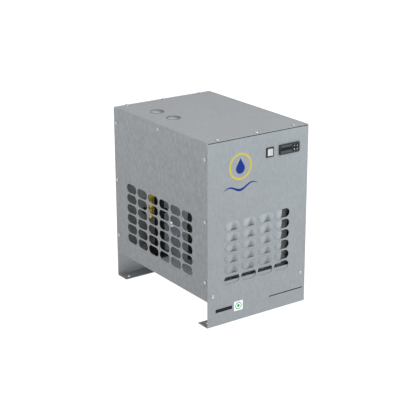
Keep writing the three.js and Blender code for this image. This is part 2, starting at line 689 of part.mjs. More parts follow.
const { x: shellX, y: shellY, top: shellTop } = COMPRESSOR;
const condenserPortX = CONDENSER.right + GAP;
const dischargeRoute = [
  [shellX + 30, shellY - 20, shellTop + GAP], [shellX + 30, shellY - 20, shellTop + 22],
  [shellX + 52, shellY - 60, shellTop + 40], [128, -150, 338], [138, -205, 332], [134, -223, 328],
  [condenserPortX, -223, 328],
];
const liquidRoute = [
  [condenserPortX, -223, 130], [134, -223, 130], [DRIER.x, -212, DRIER.z], [DRIER.x, -180, DRIER.z],
  [DRIER.x, DRIER.front - GAP, DRIER.z],
];
const suctionRoute = [
  [-62, 40, EXCHANGER.bottom - GAP], [-62, 40, EXCHANGER.bottom - 14], [-52, 28, EXCHANGER.bottom - 28],
  [-32, 4, shellTop + 32], [shellX - 25, shellY + 15, shellTop + 22],
  [shellX - 25, shellY + 15, shellTop + GAP],
];
const bypassRoute = [
  [VALVE.x, VALVE.y + VALVE.radius - 0.8, 236], [VALVE.x, VALVE.y + 22, 236],
  [VALVE.x + 12, VALVE.y + 34, 238], [-68, 207, 250], [-36, 192, 275], [30, 110, 305], [62, 30, 316],
  [shellX + 44, shellY + 18, 314], [shellX + 42, shellY + 14, shellTop + 12],
  [shellX + 42, shellY + 14, shellTop + GAP],
];

add('discharge_pipe', pipe(dischargeRoute, COPPER, 8, 20), COPPER_METAL);
add('liquid_line', pipe(liquidRoute, LIQUID, 8, 16), COPPER_METAL);
add('filter_drier', filterDrier(), COPPER_METAL);
add('capillary_tube', capillaryTube(), COPPER_METAL);
add('suction_pipe', pipe(suctionRoute, SUCTION, 10, 18), FOAM);
add('bypass_valve', bypassValve(), BRASS);
add('bypass_line', pipe(bypassRoute, COPPER, 8, 24), COPPER_METAL);

// ---------- Condensate drain ----------

// Drain valve: round body with an inlet stub that points at the riser
function drainValve() {
  const { x, y, radius, bottom, top, stub, stubZ } = DRAIN;
  const body = rodZ(x, y, radius, bottom, top, 20);
  const heading = Math.atan2(RISER.y - y, RISER.x - x);
  const reach = Math.hypot(RISER.y - y, RISER.x - x) - RISER.radius - GAP;
  const inlet = rodX(0, 0, stub, 0, reach, 10).rotateZ(heading).translate(x, y, stubZ);
  const stemHole = (side) => rodZ(
    x + side * KNOB.spread, y + KNOB.back, KNOB.stem + 0.6, top - KNOB.stemDepth - 1, top + 1, 10,
  );
  const well = rodZ(x, y - TEST_BUTTON.front, TEST_BUTTON.well, top - 2 * TEST_BUTTON.depth, top + 1, 16);
  return cut(join(body, inlet), stemHole(-1), stemHole(1), well);
}

// Timer knob about its stem, with a pointer slot across the top
function timerKnob() {
  const { radius, height, stem, stemDepth } = KNOB;
  const grip = turned([[0, 0], [radius, 0], [radius * 0.86, height], [0, height]], 16);
  const pin = rodZ(0, 0, stem, -stemDepth, 1, 8);
  const pointer = block(-0.6, 0.6, -radius - 1, radius * 0.4, height - 1.2, height + 1);
  return cut(join(grip, pin), pointer);
}

function testButton() {
  const { radius, proud, depth } = TEST_BUTTON;
  const profile = [[0, -depth], [radius, -depth], [radius, proud - 0.8], [radius - 0.8, proud], [0, proud]];
  return turned(profile, 16);
}

// Bulkhead tail: inner pipe, hexagon outside the panel and two hose barbs
function drainOutlet() {
  const { z, pipe: pipeRadius, barb, bore, proud, nut, nutDepth } = DRAIN_TAIL;
  const tip = HALF_D + proud;
  const start = DRAIN.y + DRAIN.radius + GAP;
  const step = (proud - nutDepth - GAP) / 3;
  const profile = [[0, 0], [pipeRadius, 0]];
  for (let i = 0; i < 2; i += 1) {
    const foot = HALF_D + nutDepth + GAP + (i + 0.6) * step - start;
    profile.push([pipeRadius, foot], [barb, foot + 1], [pipeRadius, foot + step * 0.8]);
  }
  profile.push([pipeRadius - 1, tip - start], [0, tip - start]);
  const stem = turned(profile, 14).rotateX(-Math.PI / 2).translate(DRAIN.x, start, z);
  const hexagon = rodY(DRAIN.x, z, nut, HALF_D + GAP, HALF_D + GAP + nutDepth, 6);
  return cut(join(stem, hexagon), rodY(DRAIN.x, z, bore, HALF_D - 12, tip + 1));
}

const knobY = DRAIN.y + KNOB.back;
add('drain_valve', drainValve(), BLACK_PLASTIC);
add('drain_test_button', testButton(), CREAM).position.set(DRAIN.x, DRAIN.y - TEST_BUTTON.front, DRAIN.top);
add('timer_on_knob', timerKnob(), CREAM).position.set(DRAIN.x - KNOB.spread, knobY, DRAIN.top + GAP);
add('timer_off_knob', timerKnob(), CREAM).position.set(DRAIN.x + KNOB.spread, knobY, DRAIN.top + GAP);
add('drain_outlet', drainOutlet(), BRASS);

// ---------- Electrical parts ----------

// Cable gland: threaded stem through the panel, hexagon and domed nut outside, open bore
function cableGland() {
  const { x, z, hex, dome, thread, bore, proud } = GLAND;
  const outside = HALF_D + GAP;
  const stem = rodY(x, z, thread, HALF_D - 12, outside + 1, 16);
  const hexagon = rodY(x, z, hex, outside, outside + 7, 6);
  const nut = turned([[0, 0], [dome, 0], [dome, 9], [dome * 0.72, proud - 7], [0, proud - 7]], 16)
    .rotateX(-Math.PI / 2).translate(x, outside + 6, z);
  return cut(join(stem, hexagon, nut), rodY(x, z, bore, HALF_D - 13, HALF_D + proud + 1, 14));
}

function terminalBlock() {
  const { left, right, bottom, height, depth } = TERMINALS;
  const outline = roundedRectangle(left, bottom, right - left, height, 3);
  return frontSolid(outline, INNER_Y - depth, INNER_Y, 2);
}

function startCapacitor() {
  const { x, y, radius, bottom, height } = CAPACITOR;
  const can = [[0, 0], [radius, 0], [radius, height - 3], [radius - 3, height], [0, height]];
  const top = bottom + height;
  const post = (px) => block(px - 3, px + 3, y - 0.6, y + 0.6, top - 1, top + 9);
  return join(turned(can, 18).translate(x, y, bottom), post(x - 7), post(x + 7));
}

add('cable_gland', cableGland(), BLACK_PLASTIC);
add('terminal_block', terminalBlock(), CREAM);
add('start_capacitor', startCapacitor(), ALUMINIUM);

// ---------- Origin: middle of the outer box, on the floor ----------

const outer = new THREE.Box3().setFromObject(dryer);
dryer.position.y = -(outer.min.y + outer.max.y) / 2;
const model = new THREE.Group();
model.add(dryer);

export default model;
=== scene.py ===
"""Looks of a refrigerated air dryer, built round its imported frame.

Shapes are drawn in cabinet millimetres: X to the right, Y from the middle of the cabinet
towards the rear, Z up from the floor. TO_ROW turns them into the frame's metres.
"""
import math

import bmesh
import bpy
import numpy as np
from mathutils import Matrix, Vector


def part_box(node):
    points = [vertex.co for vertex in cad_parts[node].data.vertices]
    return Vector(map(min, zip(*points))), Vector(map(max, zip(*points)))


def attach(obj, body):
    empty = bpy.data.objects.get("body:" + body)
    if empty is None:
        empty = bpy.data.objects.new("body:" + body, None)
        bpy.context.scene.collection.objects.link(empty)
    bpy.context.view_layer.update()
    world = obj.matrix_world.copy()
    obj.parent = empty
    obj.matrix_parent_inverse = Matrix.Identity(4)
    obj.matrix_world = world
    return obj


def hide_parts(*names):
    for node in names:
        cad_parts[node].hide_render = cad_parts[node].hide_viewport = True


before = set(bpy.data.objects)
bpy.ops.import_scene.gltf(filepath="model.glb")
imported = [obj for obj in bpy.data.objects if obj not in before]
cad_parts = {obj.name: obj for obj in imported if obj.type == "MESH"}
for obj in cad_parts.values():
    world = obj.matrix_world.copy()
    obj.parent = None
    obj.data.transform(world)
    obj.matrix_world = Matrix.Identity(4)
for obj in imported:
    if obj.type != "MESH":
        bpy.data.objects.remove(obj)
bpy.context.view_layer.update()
SCENE = bpy.context.scene

# ---------- Places read from the frame ----------

MIDDLE_Y = (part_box("front_panel")[0].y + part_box("rear_panel")[1].y) / 2
TO_ROW = Matrix.Translation((0, MIDDLE_Y, 0)) @ Matrix.Scale(0.001, 4)
TO_CABINET = TO_ROW.inverted()


def span(node):
    """Lowest and highest corner of a CAD node, in cabinet millimetres."""
    low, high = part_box(node)
    return TO_CABINET @ low, TO_CABINET @ high


def centre(node, axes="xy"):
    """Middle of a CAD node along the named axes, in cabinet millimetres."""
    low, high = span(node)
    return [(getattr(low, axis) + getattr(high, axis)) / 2 for axis in axes]


FRONT_LOW, FRONT_HIGH = span("front_panel")
COVER_LOW, COVER_HIGH = span("top_cover")
TRAY_BOTTOM = span("base_tray")[0].z
HALF_W = FRONT_HIGH.x
HALF_D = -FRONT_LOW.y
HEIGHT = COVER_HIGH.z
PANEL_TOP = FRONT_HIGH.z
FOOT = FRONT_HIGH.y - FRONT_LOW.y
LEG = span("right_side_panel")[0].z
INNER_X = COVER_HIGH.x
FACE_Y = -HALF_D

# ---------- Sizes of the folded sheet and its openings ----------

SHEET = 1.5
BEND = 3.0
GAP = 0.3
BEZEL = 2.2
TOP_LIP = 18
SIDE_LIP = 22
COVER_LIP_LENGTH = 460
COVER_BEND = 2.0
FOOT_HOLE = {"radius": 4.5, "x": 163, "inset": 32}
SLOT = {"length": 56, "height": 28.4, "along": 62.4, "up": 33.8}
FRONT_SLOTS = {"start": -124.4, "bottom": 125.5, "columns": 4, "rows": 6}
SIDE_SLOTS = {"start": -180, "bottom": 142.5, "columns": 6, "rows": 6}
PORT_HOLE = 21.5
PORTS = ("air_inlet_fitting", "air_outlet_fitting")
GLAND_HOLE = 8.6
TAIL_HOLE = 6.8
SCREW = {"head": 5.6, "dome": 2.8, "rim": 0.9, "shank": 2.0, "length": 8.0, "cross": 2.6, "cross_width": 1.1}
# Two small white domes on a web of the left grille: their white is a painted highlight for two glints.
GLINT_DOMES = {"radius": 2.3, "rise": 2.0, "depth": 2.4, "places": ((-66, 279.2), (-71.5, 270.8))}
SHARP = 35  # degrees between two faces from which their edge is a sharp one

# ---------- Outlines ----------


def arc(cx, cy, radius, start, end, steps=8):
    """Points along an arc between two angles in degrees, both ends included."""
    angles = [math.radians(start + (end - start) * i / steps) for i in range(steps + 1)]
    return [(cx + radius * math.cos(a), cy + radius * math.sin(a)) for a in angles]


def rounded(left, bottom, width, height, radius, steps=6):
    """Rectangle with round corners."""
    right = left + width - radius
    top = bottom + height - radius
    left = left + radius
    bottom = bottom + radius
    corners = [(right, bottom, 270), (right, top, 0), (left, top, 90), (left, bottom, 180)]
    return [p for cx, cy, a in corners for p in arc(cx, cy, radius, a, a + 90, steps)]


def box_outline(node, axes, radius):
    """Round-cornered outline of a CAD node's box along two axes."""
    low, high = span(node)
    left, bottom = (getattr(low, axis) for axis in axes)
    right, top = (getattr(high, axis) for axis in axes)
    return rounded(left, bottom, right - left, top - bottom, radius)


def rectangle(left, bottom, right, top):
    return [(left, bottom), (right, bottom), (right, top), (left, top)]


def circle(radius, steps=48, cx=0.0, cy=0.0, turn=0.0):
    return arc(cx, cy, radius, turn, turn + 360, steps)[:-1]


def fluted(radius, depth, count, every, first, cx=0.0, cy=0.0):
    """Round outline with a flute at every so many of its points, counted from the first flute."""
    reaches = [radius - (depth if i % every == first else 0) for i in range(count)]
    angles = [2 * math.pi * i / count for i in range(count)]
    return [(cx + r * math.cos(a), cy + r * math.sin(a)) for r, a in zip(reaches, angles)]


def crown(radius, base, rise, step):
    """Profile of a domed head from its edge to its middle; step in degrees."""
    angles = [math.radians(a) for a in range(0, 90, step)]
    return [*[(radius * math.cos(a), base + rise * math.sin(a)) for a in angles], (0, base + rise)]


def grooves(radius, start, pitch, depth):
    """Profile of the six sloped grooves round a can."""
    points = []
    for base in (start + i * pitch for i in range(6)):
        points += [(radius, base), (radius - depth, base + 0.6)]
        points += [(radius - depth, base + 1.8), (radius, base + 2.4)]
    return points


def slot_outlines(field):
    """Full-round ventilation slots of one field."""
    return [
        rounded(
            field["start"] + column * SLOT["along"],
            field["bottom"] + row * SLOT["up"],
            SLOT["length"],
            SLOT["height"],
            SLOT["height"] / 2,
            10,
        )
        for column in range(field["columns"])
        for row in range(field["rows"])
    ]


# ---------- Meshes ----------


def without_repeats(outline):
    """The outline with no point given twice in a row."""
    kept = []
    for point in outline:
        if not kept or math.dist(point, kept[-1]) > 1e-4:
            kept.append(point)
    return kept if math.dist(kept[0], kept[-1]) > 1e-4 else kept[:-1]


def prism(outline, axis, start, end):
    """Closed solid of an outline: (x, y) along z, (x, z) along y or (y, z) along x."""
    order = {"z": lambda a, b, d: (a, b, d), "y": lambda a, b, d: (a, d, b), "x": lambda a, b, d: (d, a, b)}
    mesh = bmesh.new()
    outline = without_repeats(outline)
    low = [mesh.verts.new(order[axis](a, b, start)) for a, b in outline]
    high = [mesh.verts.new(order[axis](a, b, end)) for a, b in outline]
    mesh.faces.new(low)
    mesh.faces.new(high)
    for i in range(len(low)):
        mesh.faces.new([low[i - 1], low[i], high[i], high[i - 1]])
    bmesh.ops.recalc_face_normals(mesh, faces=mesh.faces)
    return mesh


def block(x0, x1, y0, y1, z0, z1):
    return prism(rectangle(x0, y0, x1, y1), "z", z0, z1)


def turned(profile, steps=48, place=Matrix(), closed=False):
    """Solid turned about local Z from (radius, height) pairs; a closed profile makes a ring."""
    mesh = bmesh.new()
    rings = []
    for radius, height in profile:
        count = 1 if radius < 1e-6 else steps
        angles = [2 * math.pi * i / steps for i in range(count)]
        rings.append([mesh.verts.new((radius * math.cos(a), radius * math.sin(a), height)) for a in angles])
    pairs = list(zip(rings, rings[1:])) + ([(rings[-1], rings[0])] if closed else [])
    for lower, upper in pairs:
        for i in range(steps):
            around = ((lower, i), (lower, i + 1), (upper, i + 1), (upper, i))
            corners = list(dict.fromkeys(ring[k % len(ring)] for ring, k in around))
            if len(corners) > 2:
                mesh.faces.new(corners)
    bmesh.ops.recalc_face_normals(mesh, faces=mesh.faces)
    mesh.transform(place)
    return mesh


def stand(x, y, z, towards=(0, 0, 1)):
    """Place at a point, with local Z pointing a given way."""
    turn = Vector(towards).to_track_quat("Z", "Y").to_matrix().to_4x4()
    return Matrix.Translation((x, y, z)) @ turn


def smooth(points, steps=8):
    """Centripetal curve through the points."""
    knots = [Vector(p) for p in points]
    knots = [2 * knots[0] - knots[1], *knots, 2 * knots[-1] - knots[-2]]
    curve = []
    for a, b, c, d in zip(knots, knots[1:], knots[2:], knots[3:]):
        t1 = (b - a).length ** 0.5
        t2 = t1 + (c - b).length ** 0.5
        t3 = t2 + (d - c).length ** 0.5
        for i in range(steps):
            t = t1 + (t2 - t1) * i / steps
            first = a.lerp(b, t / t1)
            second = b.lerp(c, (t - t1) / (t2 - t1))
            third = c.lerp(d, (t - t2) / (t3 - t2))
            early = first.lerp(second, t / t2)
            late = second.lerp(third, (t - t1) / (t3 - t1))
            curve.append(early.lerp(late, (t - t1) / (t2 - t1)))
    return [*curve, Vector(points[-1])]


def tube(route, radius, sides=16):
    """Closed round tube along a route; radius is a number or a function of the share of the way."""
    mesh = bmesh.new()
    rings = []
    last = len(route) - 1
    normal = None
    for i, point in enumerate(route):
        ahead = (route[min(i + 1, last)] - route[max(i - 1, 0)]).normalized()
        normal = ahead.orthogonal() if normal is None else normal - ahead * normal.dot(ahead)
        normal.normalize()
        side = ahead.cross(normal)
        size = radius(i / last) if callable(radius) else radius
        angles = [2 * math.pi * k / sides for k in range(sides)]
        ring = [point + (normal * math.cos(a) + side * math.sin(a)) * size for a in angles]
        rings.append([mesh.verts.new(corner) for corner in ring])
    for lower, upper in zip(rings, rings[1:]):
        for k in range(sides):
            mesh.faces.new([lower[k - 1], lower[k], upper[k], upper[k - 1]])
    mesh.faces.new(rings[0])
    mesh.faces.new(rings[-1])
    bmesh.ops.recalc_face_normals(mesh, faces=mesh.faces)
    return mesh


def together(*meshes):
    """Separate closed shells in one mesh."""
    whole = bmesh.new()
    for mesh in meshes:
        held = bpy.data.meshes.new("held")
        mesh.to_mesh(held)
        mesh.free()
        whole.from_mesh(held)
        bpy.data.meshes.remove(held)
    return whole


def loose_object(mesh, name="loose"):
    """Object of a mesh, linked to the scene."""
    data = bpy.data.meshes.new(name)
    mesh.to_mesh(data)
    mesh.free()
    obj = bpy.data.objects.new(name, data)
    SCENE.collection.objects.link(obj)
    return obj


def combine(body, tools, operation="DIFFERENCE"):
    """Boolean of a closed mesh with others, one after another."""
    objects = [loose_object(body)] + [loose_object(tool) for tool in tools]
    for tool in objects[1:]:
        modifier = objects[0].modifiers.new("combine", "BOOLEAN")
        modifier.operation = operation
        modifier.solver = "EXACT"
        modifier.object = tool
    solid = objects[0].evaluated_get(bpy.context.evaluated_depsgraph_get())
    result = bmesh.new()
    result.from_mesh(solid.to_mesh())
    for obj in objects:
        data = obj.data
        bpy.data.objects.remove(obj)
        bpy.data.meshes.remove(data)
    bmesh.ops.remove_doubles(result, verts=result.verts, dist=1e-4)
    return result


def cut(body, *tools):
    return combine(body, tools)


def join(body, *tools):
    return combine(body, tools, "UNION")


def soften(obj, width):
    """Rounds the sharp edges of a piece; width in millimetres."""
    bevel = obj.modifiers.new("edges", "BEVEL")
    bevel.width = width / 1000
    bevel.segments = 2
    bevel.limit_method = "ANGLE"
    bevel.angle_limit = math.radians(SHARP)
    bevel.harden_normals = True


def piece(name, mesh, material, node=None, body="cabinet", edge=0.0, sharp=SHARP):
    """Makes an object of a mesh in cabinet millimetres; node is the CAD node it stands for."""
    mesh.transform(TO_ROW)
    obj = loose_object(mesh, name)
    obj.data.polygons.foreach_set("use_smooth", [True] * len(obj.data.polygons))
    obj.data.set_sharp_from_angle(angle=math.radians(sharp))
    obj.data.materials.append(material)
    if edge:
        soften(obj, edge)
    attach(obj, body)
    if node:
        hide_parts(node)
    return obj


def keep_node(node, material, edge=0.4):
    """Shows a CAD node as it is, with its finish and softened edges."""
    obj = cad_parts[node]
    obj.data.materials.clear()
    obj.data.materials.append(material)
    weld = obj.modifiers.new("weld", "WELD")
    weld.merge_threshold = 1e-5
    soften(obj, edge)


# ---------- Materials ----------


def ink(red, green, blue):
    """Colour from 8-bit display values."""
    levels = [c / 255 for c in (red, green, blue)]
    return (*[c / 12.92 if c <= 0.04045 else ((c + 0.055) / 1.055) ** 2.4 for c in levels], 1.0)


class Finish:
    """Node tree of one material, with helpers for the textures that the finishes share."""

    def __init__(self, name, colour, roughness, metallic=0.0):
        self.material = bpy.data.materials.new(name)
        self.material.use_nodes = True
        self.tree = self.material.node_tree
        self.shader = self.tree.nodes["Principled BSDF"]
        self.place = self.add("ShaderNodeTexCoord").outputs["Object"]
        self.rough = roughness
        self.colour = self.add("ShaderNodeRGB").outputs[0]
        self.colour.default_value = colour
        self.link(self.colour, self.shader.inputs["Base Color"])
        self.set(Metallic=metallic, Roughness=roughness)

    def add(self, kind, **settings):
        node = self.tree.nodes.new(kind)
        for key, setting in settings.items():
            setattr(node, key, setting)
        return node

    def link(self, source, target):
        self.tree.links.new(source, target)

    def set(self, **inputs):
        """Numbers and colours of the shader; an underscore stands for a space."""
        for key, setting in inputs.items():
            self.shader.inputs[key.replace("_", " ")].default_value = setting
        return self

    def noise(self, size, detail=3.0, stretch=(1, 1, 1), distortion=0.0):
        """Noise with features of a size in millimetres."""
        mapping = self.add("ShaderNodeMapping")
        mapping.inputs["Scale"].default_value = stretch
        self.link(self.place, mapping.inputs["Vector"])
        node = self.add("ShaderNodeTexNoise")
        node.inputs["Scale"].default_value = 1000 / size
        node.inputs["Detail"].default_value = detail
        node.inputs["Distortion"].default_value = distortion
        self.link(mapping.outputs[0], node.inputs["Vector"])
        return node.outputs["Fac"]

    def cells(self, size, output):
        """Cells of a size in millimetres: their Distance or Color output."""
        node = self.add("ShaderNodeTexVoronoi")
        node.inputs["Scale"].default_value = 1000 / size
        self.link(self.place, node.inputs["Vector"])
        return node.outputs[output]

    def ranged(self, source, low, high, start=0.35, end=0.65):
        """A source's values between start and end, spread between two numbers."""
        node = self.add("ShaderNodeMapRange")
        for socket, number in zip(("From Min", "From Max", "To Min", "To Max"), (start, end, low, high)):
            node.inputs[socket].default_value = number
        self.link(source, node.inputs["Value"])
        return node.outputs[0]

    def along(self, axis, low, high, start, end):
        """Goes from low to high between two places along an axis, in the frame's metres."""
        split = self.add("ShaderNodeSeparateXYZ")
        self.link(self.place, split.inputs[0])
        return self.ranged(split.outputs[axis], low, high, start, end)

    def mixed(self, blend):
        """Mix node laid over the colour so far; what it gives becomes the colour."""
        mix = self.add("ShaderNodeMix", data_type="RGBA", blend_type=blend)
        self.link(self.colour, mix.inputs[6])
        self.colour = mix.outputs[2]
        self.link(self.colour, self.shader.inputs["Base Color"])
        return mix

    def blend_to(self, colour, factor):
        """Mixes another colour over what there is, by a factor socket."""
        mix = self.mixed("MIX")
        self.link(factor, mix.inputs[0])
        mix.inputs[7].default_value = colour
        return self

    def vary(self, source, spread):
        """Lightens and darkens the colour by a share either way."""
        mix = self.mixed("MULTIPLY")
        mix.inputs[0].default_value = 1.0
        grey = self.add("ShaderNodeCombineColor")
        level = self.ranged(source, 1 - spread, 1 + spread)
        for socket in grey.inputs:
            self.link(level, socket)
        self.link(grey.outputs[0], mix.inputs[7])
        return self

    def roughen(self, source, spread):
        level = self.ranged(source, max(self.rough - spread, 0.02), min(self.rough + spread, 1.0))
        self.link(level, self.shader.inputs["Roughness"])
        return self

    def emboss(self, source, depth):
        """Bump from a texture, on top of any before it; depth in millimetres."""
        bump = self.add("ShaderNodeBump")
        bump.inputs["Strength"].default_value = 1.0
        bump.inputs["Distance"].default_value = depth / 1000
        self.link(source, bump.inputs["Height"])
        before = self.shader.inputs["Normal"].links
        if before:
            self.link(before[0].from_socket, bump.inputs["Normal"])
        self.link(bump.outputs[0], self.shader.inputs["Normal"])
        return self


def cabinet_paint(name="cabinet_paint", grain=0.04, dust_and_shade=0.0):
    """Silver powder coat: fine metallic grain, soft mottling, and, when asked, painted shade that darkens it
    low down.
    """
    f = Finish(name, ink(140, 144, 147), 0.5, 0.3)
    if dust_and_shade:
        low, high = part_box("left_side_panel")
        # Painted shade: darker towards the bottom of the side panel, where less light falls.
        f.blend_to(ink(104, 106, 108), f.along("Z", dust_and_shade, 0.0, low.z, high.z))
    f.vary(f.noise(7, 2, (1, 1, 0.5)), grain).vary(f.noise(60, 3), 0.015).roughen(f.noise(9, 3), 0.06)
    f.emboss(f.noise(7, 2, (1, 1, 0.6)), 0.9).emboss(f.noise(0.5, 1), 0.012)
    return f.material


def screw_steel():
    f = Finish("screw_steel", ink(196, 198, 200), 0.3, 1.0)
    f.vary(f.noise(1.2, 3), 0.06).roughen(f.noise(0.8, 2, (1, 1, 6)), 0.08)
    return f.emboss(f.noise(0.4, 2), 0.008).material


def zinc_sheet():
    """Galvanised sheet with its spangle."""
    f = Finish("zinc_sheet", ink(176, 181, 184), 0.38, 0.9)
    spangle = f.cells(9, "Color")
    return f.vary(spangle, 0.10).roughen(spangle, 0.12).vary(f.noise(40, 3), 0.06).material


def black_enamel():
    f = Finish("black_enamel", ink(16, 17, 19), 0.42, 0.0)
    f.vary(f.noise(30, 3), 0.25).roughen(f.noise(14, 3), 0.1)
    f.blend_to(ink(60, 58, 55), f.ranged(f.noise(22, 4), 0.0, 0.25, 0.5, 0.8))
    f.emboss(f.noise(1.8, 2), 0.05)
    return f.set(Specular_IOR_Level=0.3).material


def moulded(name, colour, roughness, grain=0.5, dust_and_shade=0.12):
    """Moulded plastic: fine spark-eroded grain and faint dust."""
    f = Finish(name, colour, roughness)
    f.vary(f.noise(18, 3), dust_and_shade).roughen(f.noise(6, 3), 0.07)
    f.emboss(f.noise(grain, 2), 0.02)
    return f.set(Specular_IOR_Level=0.3).material


def insulation_foam():
    """Closed-cell black foam with an open-pored skin."""
    f = Finish("insulation_foam", ink(19, 20, 22), 0.9)
    f.vary(f.noise(25, 4), 0.3).vary(f.cells(1.6, "Distance"), 0.35)
    return f.emboss(f.cells(1.6, "Distance"), 0.25).emboss(f.noise(12, 3), 0.4).material


def filter_fleece():
    """Non-woven fleece: tangled fibres, soft sheen, painted shade deeper in its dents, and darker towards the
    bottom.
    """
    f = Finish("filter_fleece", ink(151, 155, 158), 0.95)
    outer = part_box("front_panel")[0].y
    low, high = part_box("filter_mat")
    # Painted shade: the deeper the fleece lies behind the panel's outer face, in its dents and folds, the
    # darker it is.
    f.blend_to(ink(98, 101, 104), f.along("Y", 0.0, 1.0, outer - 0.002, outer + 0.005))
    # Darker towards the bottom of the mat.
    f.blend_to(ink(118, 121, 124), f.along("Z", 0.8, 0.0, low.z, high.z))
    f.vary(f.noise(0.9, 4, (1, 1, 0.3), 2.5), 0.06).vary(f.noise(7, 3), 0.05)
    f.emboss(f.noise(0.7, 4, (0.3, 1, 1), 3.0), 0.14).emboss(f.noise(4, 3), 0.2)
    return f.set(Sheen_Weight=0.3, Sheen_Roughness=0.6).material


def aluminium():
    f = Finish("aluminium", ink(176, 180, 182), 0.45, 0.5)
    f.vary(f.noise(16, 3), 0.14).roughen(f.noise(5, 3), 0.1)
    f.emboss(f.noise(0.7, 2, (1, 1, 5)), 0.01)
    return f.material


def copper():
    """Drawn copper with brown heat tint."""
    f = Finish("copper", ink(196, 122, 84), 0.3, 1.0)
    f.blend_to(ink(112, 62, 44), f.ranged(f.noise(18, 4), 0.0, 0.8, 0.42, 0.7))
    f.roughen(f.noise(4, 3), 0.12)
    return f.material


def brass():
    """Machined brass, darker and greener where it has tarnished."""
    f = Finish("brass", ink(206, 182, 76), 0.36, 0.7)
    f.blend_to(ink(104, 98, 28), f.ranged(f.noise(8, 4), 0.0, 0.9, 0.42, 0.58))
    f.roughen(f.noise(3, 3), 0.1).emboss(f.noise(0.5, 2, (1, 1, 6)), 0.01)
    return f.material


def nickel_plate():
    f = Finish("nickel_plate", ink(176, 177, 178), 0.5, 0.35)
    f.vary(f.noise(6, 3), 0.08).roughen(f.noise(2, 3), 0.1)
    return f.material


def rubber():
    f = Finish("rubber", ink(26, 26, 27), 0.8)
    f.vary(f.noise(8, 3), 0.3).emboss(f.noise(0.6, 2), 0.03)
    return f.material


def smoked_window():
    """Smoked window over a display: black in the middle, grey bands above and below."""
    low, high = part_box("controller_lens")
    f = Finish("smoked_window", ink(7, 7, 9), 0.2)
    ramp = f.add("ShaderNodeValToRGB")
    steps = [(0.0, 0.9), (0.24, 0.9), (0.32, 0.0), (0.72, 0.0), (0.80, 0.9), (1.0, 0.9)]
    while len(ramp.color_ramp.elements) < len(steps):
        ramp.color_ramp.elements.new(0.5)
    for element, (position, level) in zip(ramp.color_ramp.elements, steps):
        element.position = position
        element.color = (level, level, level, 1)
    f.link(f.along("Z", 0.0, 1.0, low.z, high.z), ramp.inputs[0])
    f.blend_to(ink(70, 74, 76), ramp.outputs[0]).roughen(f.noise(5, 2), 0.04)
    return f.set(Specular_IOR_Level=0.2).material


def printed(name, colour):
    """Screen-printed ink or label film: slight unevenness and a satin surface."""
    f = Finish(name, colour, 0.38)
    f.vary(f.noise(5, 3), 0.05).roughen(f.noise(3, 2), 0.08)
    f.emboss(f.noise(0.8, 2), 0.008)
    return f.set(Specular_IOR_Level=0.15).material


PAINT = cabinet_paint()
# Side panels: stronger grain, and painted shade low down.
SIDE_PAINT = cabinet_paint("side_paint", 0.09, 0.32)
STEEL = screw_steel()
ZINC = zinc_sheet()
ENAMEL = black_enamel()
PLASTIC = moulded("black_plastic", ink(24, 25, 27), 0.44)
FOAM = insulation_foam()
FLEECE = filter_fleece()
ALUMINIUM = aluminium()
COPPER = copper()
BRASS = brass()
NICKEL = nickel_plate()
RUBBER = rubber()
SMOKED = smoked_window()
FACE_GREY = moulded("face_grey", ink(62, 66, 68), 0.5)
KEY_GREY = moulded("key_grey", ink(150, 156, 160), 0.4, 0.4, 0.04)
ROCKER_WHITE = moulded("rocker_white", ink(188, 185, 187), 0.3, 0.4, 0.03)
# Near-white of the two domes on the left grille: painted highlight.
GLINT_WHITE = moulded("glint_white", ink(250, 250, 250), 0.3, 0.4, 0.02)
CREAM = moulded("cream_plastic", ink(216, 211, 198), 0.42, 0.4, 0.05)
CAP_GREY = moulded("cap_grey", ink(150, 151, 152), 0.5, 0.5, 0.04)
YELLOW_INK = printed("yellow_ink", ink(184, 168, 66))
BLUE_INK = printed("blue_ink", ink(8, 40, 118))
BLACK_INK = printed("black_ink", ink(22, 22, 24))
WHITE_LABEL = printed("white_label", ink(225, 228, 226))
GREEN_INK = printed("green_ink", ink(26, 140, 62))

# ---------- Camera, light and floor ----------

VIEW = {"azimuth": -34.68, "elevation": 18.86, "roll": -0.188, "lens": 106.14}
VIEW_PLACE = (-2.0241, MIDDLE_Y - 2.8783, 1.4999)
FLOOR_REACH = 40


def make_camera():
    """Camera at the product view: left of the front, slightly above."""
    azimuth, elevation, roll = (math.radians(VIEW[key]) for key in ("azimuth", "elevation", "roll"))
    level = math.cos(elevation)
    back = Vector((math.sin(azimuth) * level, -math.cos(azimuth) * level, math.sin(elevation)))
    right = (-back).cross(Vector((0, 0, 1))).normalized()
    up = right.cross(-back)
    side = right * math.cos(roll) + up * math.sin(roll)
    top = up * math.cos(roll) - right * math.sin(roll)
    data = bpy.data.cameras.new("camera")
    data.lens = VIEW["lens"]
    data.sensor_width = 36
    data.clip_end = 50
    camera = bpy.data.objects.new("camera", data)
    camera.matrix_world = Matrix([*zip(side, top, back, VIEW_PLACE), (0, 0, 0, 1)])
    SCENE.collection.objects.link(camera)
    SCENE.camera = camera


def lamp(name, kind, place, power, **settings):
    """Light that the camera doesn't see itself."""
    data = bpy.data.lights.new(name, kind)
    data.energy = power
    for key, setting in settings.items():
        setattr(data, key, setting)
    light = bpy.data.objects.new(name, data)
    light.location = place
    light.visible_camera = False
    SCENE.collection.objects.link(light)
    return light


def area_light(name, place, target, size, power, colour=(1, 1, 1)):
    """Soft square lamp that faces a target."""
    light = lamp(name, "AREA", place, power, size=size, color=colour)
    light.rotation_euler = (Vector(target) - Vector(place)).to_track_quat("-Z", "Y").to_euler()


def inside_light(name, place, power):
    """Small soft lamp inside the cabinet, out of sight, for the light that leaks in all round."""
    lamp(name, "POINT", place, power, shadow_soft_size=0.04).visible_glossy = False


